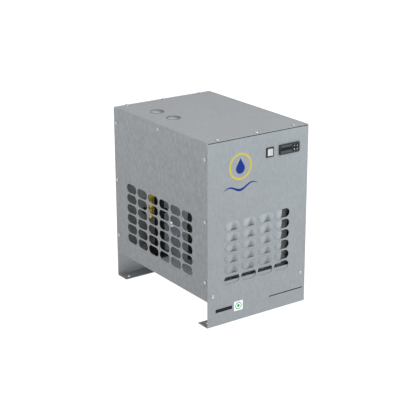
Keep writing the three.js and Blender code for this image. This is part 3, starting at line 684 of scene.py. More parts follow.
def make_studio():
    """Pale floor under an even white sky, with soft lights in front, above, left and inside."""
    SCENE.view_settings.view_transform = "Standard"
    SCENE.view_settings.look = "None"
    world = bpy.data.worlds.new("studio")
    SCENE.world = world
    world.use_nodes = True
    sky = world.node_tree.nodes["Background"].inputs
    sky["Color"].default_value = (1, 1, 1, 1)
    sky["Strength"].default_value = 0.57
    area_light("front_light", (1.5, -2.4, 2.1), (0, 0, 0.3), 1.3, 78, (0.9, 1.0, 1.05))
    area_light("top_light", (-0.2, -0.4, 3.0), (0, 0, 0.5), 1.6, 36, (1.12, 1.0, 0.96))
    area_light("left_light", (-1.4, 0.3, 1.5), (-0.185, 0, 0.35), 0.7, 5.5)
    area_light("under_light", (-0.05, -0.1, 0.04), (-0.1, 0.25, 0.05), 0.15, 0.3)
    inside_light("inside_front", (-0.09, -0.13, 0.42), 1.3)
    inside_light("inside_right", (0.02, 0.12, 0.335), 0.36)
    inside_light("inside_low", (-0.14, 0.06, 0.15), 0.05)
    mesh = bmesh.new()
    bmesh.ops.create_grid(mesh, x_segments=1, y_segments=1, size=FLOOR_REACH)
    floor = loose_object(mesh, "floor")
    finish = Finish("floor_white", (0.1, 0.1, 0.1, 1), 0.9)
    finish.set(Emission_Color=(1, 1, 1, 1), Emission_Strength=1.05, Specular_IOR_Level=0.0)
    floor.data.materials.append(finish.vary(finish.noise(400, 2), 0.01).material)


make_camera()
make_studio()

# ---------- Cabinet ----------


def folded_end():
    """End panel as it stands at the front: sole, face, top lip and side lips in one fold."""
    inner = BEND - SHEET
    bend_top = PANEL_TOP - BEND
    section = [(FOOT, 0), *arc(BEND, BEND, BEND, 270, 180), *arc(BEND, bend_top, BEND, 180, 90)]
    section += [(TOP_LIP, PANEL_TOP), (TOP_LIP, PANEL_TOP - SHEET)]
    section += [*arc(BEND, bend_top, inner, 90, 180), *arc(BEND, BEND, inner, 180, 270), (FOOT, SHEET)]
    face = prism([(FACE_Y + y, z) for y, z in section], "x", -HALF_W, HALF_W)
    lips = [
        block(*sorted((side * INNER_X, side * (INNER_X - SHEET))), FACE_Y + SHEET / 2, FACE_Y + SIDE_LIP,
              TRAY_BOTTOM, bend_top - GAP)
        for side in (-1, 1)
    ]
    return join(face, *lips)


def end_tools():
    """What both end panels lose: foot holes and the notches that the side panels fill."""
    tools = []
    for side in (-1, 1):
        place = (FOOT_HOLE["x"] * side, FACE_Y + FOOT_HOLE["inset"])
        tools.append(prism(circle(FOOT_HOLE["radius"], 32, *place), "z", -1, SHEET + 1))
        across = sorted((side * INNER_X, side * (HALF_W + 1)))
        tools.append(block(*across, FACE_Y + SHEET, FACE_Y + FOOT + 1, LEG, HEIGHT))
    return tools


def front_panel():
    through = (FACE_Y - 1, FACE_Y + SHEET + 1)
    slots = together(*[prism(outline, "y", *through) for outline in slot_outlines(FRONT_SLOTS)])
    openings = []
    for node, border in (("controller_body", 2.0), ("switch_body", 2.4)):
        low, high = span(node)
        outline = rectangle(low.x + border, low.z + border, high.x - border, high.z - border)
        openings.append(prism(outline, "y", *through))
    return cut(folded_end(), *end_tools(), slots, *openings)


def rear_panel():
    mesh = cut(folded_end(), *end_tools())
    mesh.transform(Matrix.Rotation(math.pi, 4, "Z"))
    through = (HALF_D - SHEET - 1, HALF_D + 1)
    bores = (("cable_gland", GLAND_HOLE), ("drain_outlet", TAIL_HOLE))
    outlines = [circle(radius, 32, *centre(node, "xz")) for node, radius in bores]
    return cut(mesh, *[prism(outline, "y", *through) for outline in outlines])


def side_panel(side):
    low, high = span("right_side_panel" if side > 0 else "left_side_panel")
    through = (low.x - 1, high.x + 1)
    slots = together(*[prism(outline, "x", *through) for outline in slot_outlines(SIDE_SLOTS)])
    return cut(block(low.x, high.x, low.y, high.y, low.z, high.z), slots)


def top_cover():
    """Cover with a lip folded down along each side, shorter than the cover."""
    low = COVER_LOW.z
    corner = (INNER_X - COVER_BEND, HEIGHT - COVER_BEND)
    inner = COVER_BEND - SHEET
    section = [(-INNER_X, low), *arc(-corner[0], corner[1], COVER_BEND, 180, 90)]
    section += [*arc(*corner, COVER_BEND, 90, 0), (INNER_X, low), (INNER_X - SHEET, low)]
    section += [*arc(*corner, inner, 0, 90), *arc(-corner[0], corner[1], inner, 90, 180)]
    section += [(SHEET - INNER_X, low)]
    cover = prism(section, "y", -HALF_D, HALF_D)
    half = COVER_LIP_LENGTH / 2
    tools = [
        block(-HALF_W, HALF_W, *sorted((end * half, end * (HALF_D + 1))), low - 1, HEIGHT - COVER_BEND)
        for end in (-1, 1)
    ]
    tools += [prism(circle(PORT_HOLE, 64, *centre(port)), "z", HEIGHT - 5, HEIGHT + 1) for port in PORTS]
    return cut(cover, *tools)


def cover_seal():
    """Black cord in the groove between the front panel's bend and the cover: painted shade along that groove.
    """
    under = HEIGHT - SHEET - 0.02
    bend = arc(FACE_Y + BEND, PANEL_TOP - BEND, BEND + 0.06, 165, 95)
    outline = [(FACE_Y + 0.3, under), *bend, (FACE_Y + 9, PANEL_TOP + 0.06), (FACE_Y + 9, under)]
    return prism(outline, "x", 1 - INNER_X, INNER_X - 1)


def make_cabinet():
    piece("front_sheet", front_panel(), PAINT, "front_panel", edge=0.3)
    piece("rear_sheet", rear_panel(), PAINT, "rear_panel", edge=0.3)
    for name, side in (("left_side", -1), ("right_side", 1)):
        piece(f"{name}_sheet", side_panel(side), SIDE_PAINT, f"{name}_panel", edge=0.3)
    piece("top_cover_sheet", top_cover(), PAINT, "top_cover", edge=0.3)
    keep_node("base_tray", PAINT)
    # Black cord under the cover's front edge: painted shade in the groove there.
    piece("cover_seal", cover_seal(), RUBBER)
    # Two near-white domes on the web between two slots: painted highlights standing for two glints.
    radius, rise, depth = GLINT_DOMES["radius"], GLINT_DOMES["rise"], GLINT_DOMES["depth"]
    for i, (y, z) in enumerate(GLINT_DOMES["places"]):
        profile = [(0, -depth), (radius, -depth), *crown(radius, 0, rise, 15)]
        clip = turned(profile, 24, stand(-HALF_W, y, z, (-1, 0, 0)))
        piece(f"glint_dome_{i}", clip, GLINT_WHITE)


make_cabinet()

# ---------- Screws ----------


def screw_mesh():
    """Cross-recessed pan head standing on z = 0, shank downwards."""
    head, dome, rim, shank, length = (SCREW[key] for key in ("head", "dome", "rim", "shank", "length"))
    profile = [(0, -length), (shank, 1 - length), (shank, -GAP), (head - 0.3, -GAP), (head, 0)]
    profile += crown(head, rim, dome - rim, 10)
    reach, half = SCREW["cross"], SCREW["cross_width"] / 2
    arms = [block(-x, x, -y, y, dome - 1.3, dome + 1) for x, y in ((reach, half), (half, reach))]
    return cut(turned(profile, 32), join(*arms))


def screw_places():
    """Name, seat, way out and CAD node of every panel screw."""
    dome = SCREW["dome"]
    places = []
    for node in sorted(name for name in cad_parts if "screw" in name):
        low, high = span(node)
        middle = (low + high) / 2
        if node.startswith("front"):
            places.append((node, (middle.x, low.y + dome, middle.z), (0, -1, 0), node))
        else:
            side = 1 if middle.x > 0 else -1
            seat = high.x - dome if side > 0 else low.x + dome
            places.append((node, (seat, middle.y, middle.z), (side, 0, 0), node))
    extra = [
        (name, (x, y, HEIGHT), (0, 0, 1))
        for name, y in (("cover_front", 15 - HALF_D), ("cover_rear", HALF_D - 6.2))
        for x in (-140, 0, 140)
    ]
    extra += [("side_top", (side * HALF_W, 0, HEIGHT - 15), (side, 0, 0)) for side in (-1, 1)]
    extra += [("rear_face", (side * 167, HALF_D, 99), (0, 1, 0)) for side in (-1, 1)]
    places += [(f"{name}_screw_{i}", seat, out, None) for i, (name, seat, out) in enumerate(extra)]
    return places


def make_screws():
    for index, (name, seat, out, node) in enumerate(screw_places()):
        mesh = screw_mesh()
        if name.startswith("cover"):
            mesh.transform(Matrix.Diagonal((1, 1, 1.35, 1)))
        mesh.transform(stand(*seat, out) @ Matrix.Rotation(index * 1.1, 4, "Z"))
        piece(f"{name}_head", mesh, STEEL, node, sharp=40)


make_screws()

# ---------- Controls ----------


def make_controller():
    """Temperature controller: bezel, recessed face, display window and four keys."""
    low, high = span("controller_body")
    left, right, bottom, top, front = low.x, high.x, low.z, high.z, low.y
    bezel = prism(box_outline("controller_body", "xz", 2.5), "y", front, FACE_Y - 0.05)
    face = rounded(left + BEZEL, bottom + BEZEL, right - left - 2 * BEZEL, top - bottom - 2 * BEZEL, 1.2)
    recess = prism(face, "y", front - 1, front + 0.5)
    wells = []
    for node in ("controller_lens", *[f"controller_key_{i}" for i in range(1, 5)]):
        a, b = span(node)
        outline = rectangle(a.x - GAP, a.z - GAP, b.x + GAP, b.z + GAP)
        wells.append(prism(outline, "y", front - 1, b.y + GAP + (0 if "lens" in node else 1.1)))
    housing = block(left + 2.4, right - 2.4, FACE_Y - 1, high.y, bottom + 2, top - 2)
    body = cut(join(housing, bezel), recess, *wells)
    piece("controller_housing", body, PLASTIC, "controller_body", edge=0.5)
    a, b = span("controller_lens")
    lens = prism(box_outline("controller_lens", "xz", 1), "y", a.y + 0.1, b.y)
    piece("display_window", lens, SMOKED, "controller_lens", edge=0.2)
    for name, z0, z1 in (("low", bottom + 2.4, a.z - 0.4), ("high", b.z + 0.4, top - 2.4)):
        strip = prism(rectangle(left + 2.4, z0, right - 2.4, z1), "y", front + 0.3, front + 0.5)
        piece(f"face_strip_{name}", strip, FACE_GREY)
    for i in range(1, 5):
        make_key(i)


def key_symbol(index, x, z):
    """Plain shapes that mark the keys: up, down, round and bar."""
    return (
        [(x - 2.1, z - 2), (x + 2.1, z - 2), (x, z + 2.4)],
        [(x - 2.1, z + 2), (x, z - 2.4), (x + 2.1, z + 2)],
        circle(2.1, 20, x, z),
        rounded(x - 2, z - 2.3, 4, 4.6, 0.8),
    )[index - 1]


def make_key(index):
    """Key cap with its raised mark."""
    node, body = f"controller_key_{index}", f"key_{index}"
    low, high = span(node)
    cap = prism(box_outline(node, "xz", 1.2), "y", low.y, high.y)
    piece(f"key_cap_{index}", cap, PLASTIC, node, body, edge=0.35)
    mark = prism(key_symbol(index, *centre(node, "xz")), "y", low.y - 0.12, low.y + 0.3)
    piece(f"key_mark_{index}", mark, KEY_GREY, body=body, edge=0.1)


def make_switch():
    """Power switch: bezel with a deep well, and the white rocker in it."""
    low, high = span("switch_body")
    rocker_low, rocker_high = span("switch_rocker")
    middle = (low.x + high.x) / 2
    bezel = prism(box_outline("switch_body", "xz", 2), "y", low.y, FACE_Y - 0.05)
    housing = block(low.x + 2.7, high.x - 2.7, FACE_Y - 1, high.y, low.z + 2.1, high.z - 2.1)
    well = block(middle - 9.8, middle + 9.8, low.y - 1, low.y + 13, rocker_low.z - 0.5, rocker_high.z + 0.5)
    piece("switch_housing", cut(join(housing, bezel), well), PLASTIC, "switch_body", edge=0.5)
    keep_node("switch_rocker", ROCKER_WHITE, 0.8)


make_controller()
make_switch()

# ---------- Printed marks on the front: plain shapes ----------


def plate(name, outline, material, depth=0.12, hole=None):
    """Flat printed shape on the front face."""
    mesh = prism(outline, "y", FACE_Y - depth, FACE_Y - 0.01)
    if hole:
        mesh = cut(mesh, prism(hole, "y", FACE_Y - 2, FACE_Y + 1))
    piece(name, mesh, material)


def droplet(x, z, radius, tip):
    """Drop outline: round below, drawn to a point above."""
    lean = math.degrees(math.acos(radius / tip))
    return [*arc(x, z, radius, 90 + lean, 450 - lean, 40), (x, z + tip)]


def wave(left, right, z, height, thickness, turns=1.5, steps=48):
    """Ribbon that swings up and down and thins to its ends."""
    upper, lower = [], []
    for i in range(steps + 1):
        share = i / steps
        x = left + (right - left) * share
        middle = z + height * (share - 0.5) * 0.5 + height * 0.5 * math.sin(2 * math.pi * turns * share)
        half = thickness / 2 * math.sin(math.pi * share) + 0.25
        upper.append((x, middle + half))
        lower.append((x, middle - half))
    return lower + upper[::-1]


def make_marks():
    left = -HALF_W
    ring = (left + 117, 486)
    plate("emblem_ring", circle(41, 72, *ring), YELLOW_INK, hole=circle(35, 72, *ring))
    plate("emblem_drop", droplet(ring[0], ring[1] - 6, 16, 31), BLUE_INK)
    plate("wave_mark", wave(left + 55, left + 181, 422, 15, 7), BLUE_INK)
    plate("model_bar", rounded(left + 29, 43, 61, 11, 1.5), BLACK_INK)
    plate("label_film", rounded(left + 97, 32, 33, 31, 1), WHITE_LABEL)
    label = (left + 113.5, 47.5)
    plate("label_ring", circle(11.5, 48, *label), GREEN_INK, 0.2, hole=circle(9.2, 48, *label))
    plate("label_dot", circle(4.6, 32, *label), GREEN_INK, 0.2)
    plate("rule_mark", rounded(left + 230, 46.6, 131, 3.2, 1.2), BLACK_INK)


make_marks()

# ---------- Filter mat ----------

SWELL = 4.6  # how far the mat can stand forward of its rest plane in a slot
RIM = 1.75  # how far it stands forward at least in a slot
EDGE = -2.5  # where its border is held
FAR_BACK = -9.0
PUSH = 0.03
RELAX_STEPS = 600
MAT_GRID = 1.5
TUCK = {"along": 0.6, "depth": 6.4, "slope": 0.5, "round": 5.5}


def relaxed_face(xs, zs):
    """How far the fleece's face stands forward of its rest plane.

    A membrane with a light push from behind: the panel stops it between the slots, the slots let
    it swell past the outer face, and a fold in each slot, wider and deeper low down, draws it back.
    """
    x, z = np.meshgrid(xs, zs, indexing="ij")
    limit, rim = np.zeros_like(x), np.full_like(x, FAR_BACK)
    radius = SLOT["height"] / 2
    for column in range(FRONT_SLOTS["columns"]):
        for row in range(FRONT_SLOTS["rows"]):
            left = FRONT_SLOTS["start"] + column * SLOT["along"]
            bottom = FRONT_SLOTS["bottom"] + row * SLOT["up"]
            nearest = np.clip(x, left + radius, left + SLOT["length"] - radius)
            reach = np.hypot(x - nearest, z - bottom - radius)
            limit[reach < radius + 0.6] = SWELL
            rim[reach < radius + 0.6] = RIM
            middle = left + TUCK["along"] * SLOT["length"]
            inside = np.abs(z - bottom - radius) < radius + 2.7
            lift = np.clip((z - bottom) / SLOT["height"], 0, 1)
            fold = TUCK["slope"] * np.hypot(x - middle, TUCK["round"]) - TUCK["depth"] * (1 - lift)
            limit = np.where(inside, np.minimum(limit, fold), limit)
    face = np.zeros_like(x)
    for _ in range(RELAX_STEPS):
        inner = (face[:-2, 1:-1] + face[2:, 1:-1] + face[1:-1, :-2] + face[1:-1, 2:]) / 4 + PUSH
        face[1:-1, 1:-1] = inner
        face = np.minimum(np.maximum(face, rim), limit)
        face[[0, -1], :] = EDGE
        face[:, [0, -1]] = EDGE
    return face


def make_mat():
    """Fleece mat between the condenser and the front grille."""
    low, high = span("filter_mat")
    xs = np.linspace(low.x, high.x, int((high.x - low.x) / MAT_GRID))
    zs = np.linspace(low.z, high.z, int((high.z - low.z) / MAT_GRID))
    forward = relaxed_face(xs, zs)
    mesh = bmesh.new()
    rows = [
        [mesh.verts.new((x, low.y - forward[i, j], z)) for j, z in enumerate(zs)] for i, x in enumerate(xs)
    ]
    for near, far in zip(rows, rows[1:]):
        for j in range(len(zs) - 1):
            mesh.faces.new([near[j], near[j + 1], far[j + 1], far[j]])
    rim = [r[0] for r in rows] + rows[-1][1:] + [r[-1] for r in rows[-2::-1]] + rows[0][-2:0:-1]
    back = [mesh.verts.new((v.co.x, high.y, v.co.z)) for v in rim]
    for i in range(len(rim)):
        mesh.faces.new([rim[i - 1], rim[i], back[i], back[i - 1]])
    mesh.faces.new(back)
    bmesh.ops.recalc_face_normals(mesh, faces=mesh.faces)
    mat = piece("fleece_mat", mesh, FLEECE, "filter_mat", sharp=60)


make_mat()

# ---------- Condenser and fan ----------

FIN_PITCH = 2.4
TUBE = {"radius": 4.8, "pitch": 24.5, "rows": 9, "bend": 12}
FAN = {"radius": 97.5, "hub": 30, "depth": 18, "blades": 5, "ring": 104}
MOTOR_DEPTH = 42


def condenser_tube(row, y, z, ends):
    """One straight tube and the return bend above it, which the last row doesn't have."""
    radius, pitch = TUBE["radius"], TUBE["pitch"]
    meshes = [tube([Vector((x, y, z)) for x in ends], radius, 14)]
    if row + 1 < TUBE["rows"]:
        side = -1 if row % 2 else 1
        x = max(ends) if side > 0 else min(ends)
        bend = [
            Vector((x + side * TUBE["bend"] * math.sin(a), y, z + pitch / 2 - pitch / 2 * math.cos(a)))
            for a in np.linspace(0, math.pi, 13)
        ]
        meshes.append(tube(bend, radius, 14))
    return meshes


def make_condenser():
    """Finned block with two rows of copper tube, return bends and folded end plates."""
    low, high = span("condenser")
    fin_low, fin_high = low.z + 15.5, high.z - 2
    first, width = low.x + 4, high.x - low.x - 8
    count = int(width / FIN_PITCH)
    places = [first + width * (i + 0.5) / count for i in range(count)]
    fins = [block(x - 0.15, x + 0.15, low.y + 1, high.y - 1, fin_low, fin_high) for x in places]
    piece("condenser_fins", together(*fins), ALUMINIUM, "condenser")
    for name, x in (("left", low.x), ("right", high.x - 2)):
        end = block(x, x + 2, low.y, high.y, low.z, high.z)
        piece(f"condenser_end_{name}", end, ZINC, edge=0.3)
    tubes = [
        condenser_tube(row, y, fin_low + 18 + row * TUBE["pitch"], (low.x - 1, high.x + 1))
        for y in (low.y + 11, high.y - 12)
        for row in range(TUBE["rows"])
    ]
    piece("condenser_tubes", together(*[mesh for pair in tubes for mesh in pair]), COPPER)
    baffle = block(high.x + 0.5, INNER_X - 2.2, low.y + 4, low.y + 5, low.z - 12, high.z)
    piece("condenser_baffle", baffle, ENAMEL, edge=0.2)


def fan_middle():
    """Middle of the fan, on the axis of its motor."""
    motor_low, motor_high = span("fan_motor")
    fan_low, fan_high = span("fan_blades")
    axis = (motor_low + motor_high) / 2
    return Vector((axis.x, (fan_low.y + fan_high.y) / 2, axis.z))


def make_shroud():
    """Shroud plate with a flared ring round the fan."""
    low, high = span("fan_shroud")
    middle = fan_middle()
    radius, depth = FAN["ring"], high.y - low.y
    opening = prism(circle(radius + 0.7, 96, middle.x, middle.z), "y", low.y - 1, low.y + 3)
    sheet = cut(block(low.x, high.x, low.y, low.y + SHEET, low.z, high.z), opening)
    piece("shroud_plate", sheet, ZINC, "fan_shroud", edge=0.2)
    profile = [(radius + 6, 0.1), (radius + 2.6, 1.0), (radius, 5), (radius, depth), (radius + 1.5, depth)]
    profile += [(radius + 1.5, 5.6), (radius + 3.6, 2.2), (radius + 6, 1.5)]
    ring = turned(profile, 96, stand(middle.x, low.y, middle.z, (0, 1, 0)), closed=True)
    piece("shroud_ring", ring, ZINC, sharp=50)


def blade_mesh(radius, hub):
    """One twisted blade, thick at the root and thin at the tip, about local Z."""
    mesh = bmesh.new()
    stations, across = 12, 10
    faces = []
    for level in (1, -1):
        grid = []
        for i in range(stations + 1):
            share = i / stations
            reach = hub - 3 + (radius - hub + 3) * share
            chord = 27 + 27 * math.sin(share * math.pi / 2)
            pitch = math.radians(36 - 15 * share)
            line = []
            for j in range(across + 1):
                run = j / across - 0.5
                swept = chord * (run + 0.12 * share * share)
                bow = 2.4 * (0.25 - run * run)
                trim = math.sqrt(max(reach * reach - swept * swept, 1)) if share > 0.7 else reach
                half = (1.2 - 0.6 * share) * math.sqrt(max(1 - (2 * run) ** 2, 0.0)) + 0.15
                line.append(mesh.verts.new((
                    trim,
                    swept * math.cos(pitch) - bow * math.sin(pitch),
                    swept * math.sin(pitch) + bow * math.cos(pitch) + level * half,
                )))
            grid.append(line)
        faces.append(grid)
    top, under = faces
    for grid in faces:
        for a, b in zip(grid, grid[1:]):
            for j in range(across):
                mesh.faces.new([a[j], a[j + 1], b[j + 1], b[j]])
    for line in (0, stations):
        for j in range(across):
            mesh.faces.new([top[line][j], top[line][j + 1], under[line][j + 1], under[line][j]])
    for edge in (0, across):
        for i in range(stations):
            mesh.faces.new([top[i][edge], top[i + 1][edge], under[i + 1][edge], under[i][edge]])
    bmesh.ops.recalc_face_normals(mesh, faces=mesh.faces)
    return mesh


def make_fan():
    """Moulded impeller: hub with a rounded rim, blades and the shaft's bore."""
    radius, hub, half = FAN["radius"], FAN["hub"], FAN["depth"] / 2
    profile = [(0, 2 - half), (8, 2 - half), (10, -half), (hub - 3, -half)]
    profile += [*arc(hub - 3, 3 - half, 3, -90, 0, 5), (hub, half), (0, half)]
    blades = []
    for i in range(FAN["blades"]):
        blade = blade_mesh(radius, hub)
        blade.transform(Matrix.Rotation(2 * math.pi * i / FAN["blades"], 4, "Z"))
        blades.append(blade)
    bore = turned([(0, -2 * half), (3.8, -2 * half), (3.8, 3), (0, 3)], 24)
    fan = cut(join(turned(profile, 64), together(*blades)), bore)
    fan.transform(stand(*fan_middle(), (0, -1, 0)) @ Matrix.Rotation(math.pi, 4, "X"))
    piece("fan_impeller", fan, PLASTIC, "fan_blades", "fan", sharp=40)


def make_motor():
    """Fan motor: ribbed can, end bell and shaft."""
    low, high = span("fan_motor")
    x, z = centre("fan_motor", "xz")
    radius, depth = (high.x - low.x) / 2, MOTOR_DEPTH
    profile = [(0, 0), (radius - 5, 0), *arc(radius - 4, 4, 4, -90, 0, 6), *grooves(radius, 8, 3.6, 1.2)]
    profile += [(radius, depth - 12), (radius - 6, depth - 7), (23, depth - 4), (23, depth), (0, depth)]
    can = turned(profile, 72, stand(x, high.y, z, (0, -1, 0)))
    piece("motor_can", can, ENAMEL, "fan_motor", sharp=40)
    shaft = [(0, 0), (3, 0), (3, 9), (2.4, 9.6), (0, 9.6)]
    piece("motor_shaft", turned(shaft, 24, stand(x, high.y - depth, z, (0, -1, 0))), STEEL)


make_condenser()
make_shroud()
keep_node("fan_bracket", ZINC)
make_fan()
make_motor()

# ---------- Compressor ----------

SHELL = {"radius": 85, "seam": 214, "plate": 3, "plate_width": 100}


def make_compressor():
    """Hermetic shell with its weld seam, on a base plate with grommets."""
    low, high = span("compressor")
    x, y = centre("compressor")
    radius, seam, bottom, top = SHELL["radius"], SHELL["seam"], low.z + SHELL["plate"], high.z
    side = [(0, bottom), (40, bottom), *arc(radius - 30, bottom + 30, 30, -75, 0, 10)]
    side += [(radius, seam - 6), (radius + 1.6, seam - 5), (radius + 3, seam - 3.4), (radius + 3, seam + 3.4)]
    side += [(radius + 1.6, seam + 5), (radius, seam + 6)]
    side += [*arc(radius - 38, top - 38, 38, 0, 76, 12), (30, top), (0, top)]
    piece("compressor_shell", turned(side, 96, stand(x, y, 0)), ENAMEL, "compressor", sharp=30)
    half = SHELL["plate_width"] / 2
    foot = prism(rounded(x - half, low.y, 2 * half, high.y - low.y, 14), "z", low.z, bottom)
    grommets = [f"compressor_grommet_{i}" for i in range(1, 5)]
    holes = [prism(circle(8, 32, *centre(node)), "z", low.z - 1, bottom + 1) for node in grommets]
    piece("compressor_foot", cut(foot, *holes), ENAMEL, edge=0.5)
    for i in range(1, 5):
        make_grommet(i)


def make_grommet(index):
    """Waisted rubber mount of the compressor, with its stud, washer and nut."""
    node = f"compressor_grommet_{index}"
    low, high = span(node)
    radius, height = (high.x - low.x) / 2, high.z - low.z
    place = stand(*centre(node), low.z)
    seat = place @ Matrix.Translation((0, 0, height))
    profile = [(4, 0), *arc(radius - 1.5, 1.5, 1.5, -90, 0, 4)]
    profile += [(radius, height * 0.35), (radius - 4, height * 0.5), (radius, height * 0.65)]
    profile += [*arc(radius - 1.5, height - 1.5, 1.5, 0, 90, 4), (4, height)]
    piece(f"grommet_{index}", turned(profile, 40, place, closed=True), RUBBER, node)
    stud = [(0, -1), (3.6, -1), (3.6, height + 4), (3, height + 5), (0, height + 5)]
    piece(f"grommet_stud_{index}", turned(stud, 24, place), STEEL)
    washer = turned([(3.7, 0.05), (9, 0.05), (9, 1.4), (3.7, 1.4)], 32, seat, closed=True)
    piece(f"grommet_washer_{index}", washer, STEEL)
    nut = prism(circle(6.6, 6), "z", 1.4, 4.0)
    nut.transform(seat)
    bore = turned([(0, 0), (3.65, 0), (3.65, 6), (0, 6)], 24, seat)
    piece(f"grommet_nut_{index}", cut(nut, bore), STEEL, edge=0.3)


def make_terminal_cover():
    """Plastic cap over the terminals, hollowed to fit the shell."""
    low, high = span("compressor_terminal_cover")
    box = prism(box_outline("compressor_terminal_cover", "yz", 8), "x", low.x - 6, high.x)
    reach = SHELL["radius"] + 3.6
    hollow = [(0, low.z - 9), (reach, low.z - 9), (reach, high.z + 9), (0, high.z + 9)]
    hollow = turned(hollow, 128, stand(*centre("compressor"), 0))
    piece("terminal_cap", cut(box, hollow), PLASTIC, "compressor_terminal_cover", edge=1.2)


make_compressor()
make_terminal_cover()

# ---------- Heat exchanger and air side ----------

FITTING = {"hexagon": 26, "turns": 14, "pitch": 2.2}
RISER = {"place": (-71.8, 176.0), "radius": 16, "probe": 222}
PROBE_END = span("separator_riser")[1].x


def make_exchanger():
    """Foam jacket with soft edges and the seams where its sheets meet."""
    low, high = span("heat_exchanger")
    jacket = prism(box_outline("heat_exchanger", "xy", 14), "z", low.z, high.z)
    seams = []
    for y in (low.y + 66, low.y + 140):
        seams.append(block(low.x - 1, high.x + 1, y, y + 1.2, low.z - 1, low.z + 1.6))
        seams.append(block(low.x - 1, low.x + 1.4, y, y + 1.2, low.z - 1, high.z + 1))
        seams.append(block(high.x - 1.4, high.x + 1, y, y + 1.2, low.z - 1, high.z + 1))
    piece("exchanger_jacket", cut(jacket, *seams), FOAM, "heat_exchanger", edge=2.0)


def make_fitting(node):
    """Upright female pipe end: chamfered hexagon, collar and threaded bore."""
    low, high = span(node)
    x, y = centre(node)
    place = stand(x, y, 0)
    hex_top = low.z + FITTING["hexagon"]
    chamfer = [(0, low.z - 1), (17, low.z), (18.4, low.z + 1.6), (18.4, hex_top - 1.6), (16.6, hex_top)]
    hexagon = prism(circle(18, 6, x, y), "z", low.z, hex_top)
    hexagon = combine(hexagon, [turned([*chamfer, (0, hex_top)], 64, place)], "INTERSECT")
    collar = [(0, hex_top - 1), (16, hex_top - 1), (16, high.z - 0.8), (15.2, high.z), (0, high.z)]
    thread = [(0, high.z - 34), (11.4, high.z - 34)]
    for i in range(FITTING["turns"]):
        z = high.z - 32 + i * FITTING["pitch"]
        thread += [(11.5, z), (12.3, z + FITTING["pitch"] / 2)]
    thread += [(11.6, high.z - 1.0), (13.0, high.z + 0.01), (13.0, high.z + 1), (0, high.z + 1)]
    body = cut(join(hexagon, turned(collar, 64, place)), turned(thread, 64, place))
    piece(f"{node}_body", body, NICKEL, node, sharp=30)
    make_dust_cap(node.replace("fitting", "dust_cap"), place, high.z + 0.05)


def make_dust_cap(name, place, base):
    """Grey cup pressed into a port for transport, and the black rubber edging of the cover's hole, whose
    black also paints the shade at the hole's rim.
    """
    lip, crest = HEIGHT + 0.03, HEIGHT + 0.8
    edging = [(PORT_HOLE - 0.35, HEIGHT - 2.2), (PORT_HOLE - 0.05, HEIGHT - 2.2), (PORT_HOLE - 0.05, lip)]
    edging += [(PORT_HOLE + 0.6, lip), (PORT_HOLE + 0.6, HEIGHT + 0.5), (PORT_HOLE + 0.3, crest)]
    edging += [(PORT_HOLE - 0.1, crest), (PORT_HOLE - 0.35, HEIGHT + 0.4)]
    # Black rubber edging: partly the edging itself, partly painted shade at the hole's rim.
    piece(f"{name}_edging", turned(edging, 72, place, closed=True), RUBBER, sharp=50)
    outer, brim, floor = PORT_HOLE - 0.5, HEIGHT - 0.6, base + 1.8
    cup = [(0, base - 7), (9.4, base - 7), (10.6, base - 5.6), (10.9, base), (outer, base), (outer, brim)]
    cup += [(outer - 1.2, brim), (outer - 1.2, floor + 0.8), (outer - 2.0, floor), (8, floor)]
    cup += [(7.4, floor + 0.9), (0, floor + 0.9)]
    piece(name, turned(cup, 72, place), CAP_GREY, sharp=30)


def make_riser():
    """Insulated separator riser on its base plate, with a probe branch and the strainer block."""
    low, high = span("separator_riser")
    x, y = RISER["place"]
    radius, probe = RISER["radius"], RISER["probe"]
    base_top = low.z + 4.5
    profile = [(0, base_top), (radius - 0.6, base_top), (radius, base_top + 0.6)]
    for i in range(1, 9):
        z = base_top + (high.z - base_top) * i / 9
        profile += [(radius, z - 0.8), (radius - 0.5, z), (radius, z + 0.8)]
    profile += [(radius, high.z - 0.6), (radius - 0.6, high.z), (0, high.z)]
    arm = tube([Vector((x, y, probe)), Vector((PROBE_END, y, probe))], 8.5, 32)
    piece("riser_jacket", join(turned(profile, 64, stand(x, y, 0)), arm), FOAM, "separator_riser", edge=0.4)
    foot = prism(rounded(low.x, low.y, 58, high.y - low.y, 4), "z", low.z, base_top)
    piece("riser_foot", foot, ENAMEL, edge=0.4)
    strainer = prism(rounded(low.x, low.y + 6, 18, 58, 4), "z", base_top + 0.05, low.z + 24)
    piece("strainer_block", strainer, ENAMEL, edge=0.8)


make_exchanger()
for port in PORTS:
    make_fitting(port)
keep_node("exchanger_bracket", ZINC)
make_riser()

# ---------- Refrigerant side ----------

VALVE = {"place": (-108.3, 166.7), "bottom": 213.6, "top": 300.0, "radius": 11.0, "port": 226}
VALVE_X = VALVE["place"][0]
SHELL_TOP = span("compressor")[1].z
UNDER = span("heat_exchanger")[0].z
CORE_RIGHT = span("condenser")[1].x + GAP
COIL = {"middle": (138, 40), "radius": 26, "start": 150, "rise": 9, "turns": 2.5, "steps": 16}

ROUTES = {
    "discharge_pipe": [
        (37, -44, SHELL_TOP + GAP), (37, -44, SHELL_TOP + 22), (59, -84, SHELL_TOP + 40), (128, -150, 338),
        (138, -205, 332), (134, -223, 328), (CORE_RIGHT, -223, 328),
    ],
    "liquid_line": [
        (CORE_RIGHT, -223, 130), (134, -223, 130), (140, -212, 128), (140, -180, 128), (140, -140.3, 128),
    ],
    "suction_pipe": [
        (-62, 40, UNDER - GAP), (-62, 40, UNDER - 14), (-52, 28, UNDER - 28), (-32, 4, SHELL_TOP + 32),
        (-18, -9, SHELL_TOP + 22), (-18, -9, SHELL_TOP + GAP),
    ],
    "bypass_line": [
        (VALVE_X, 176.9, 236), (VALVE_X, 188.7, 236), (VALVE_X + 12, 200.7, 238), (-68, 207, 250),
        (-36, 192, 275), (30, 110, 305), (62, 30, 316), (51, -6, 314), (49, -10, SHELL_TOP + 12),
        (49, -10, SHELL_TOP + GAP),
    ],
}


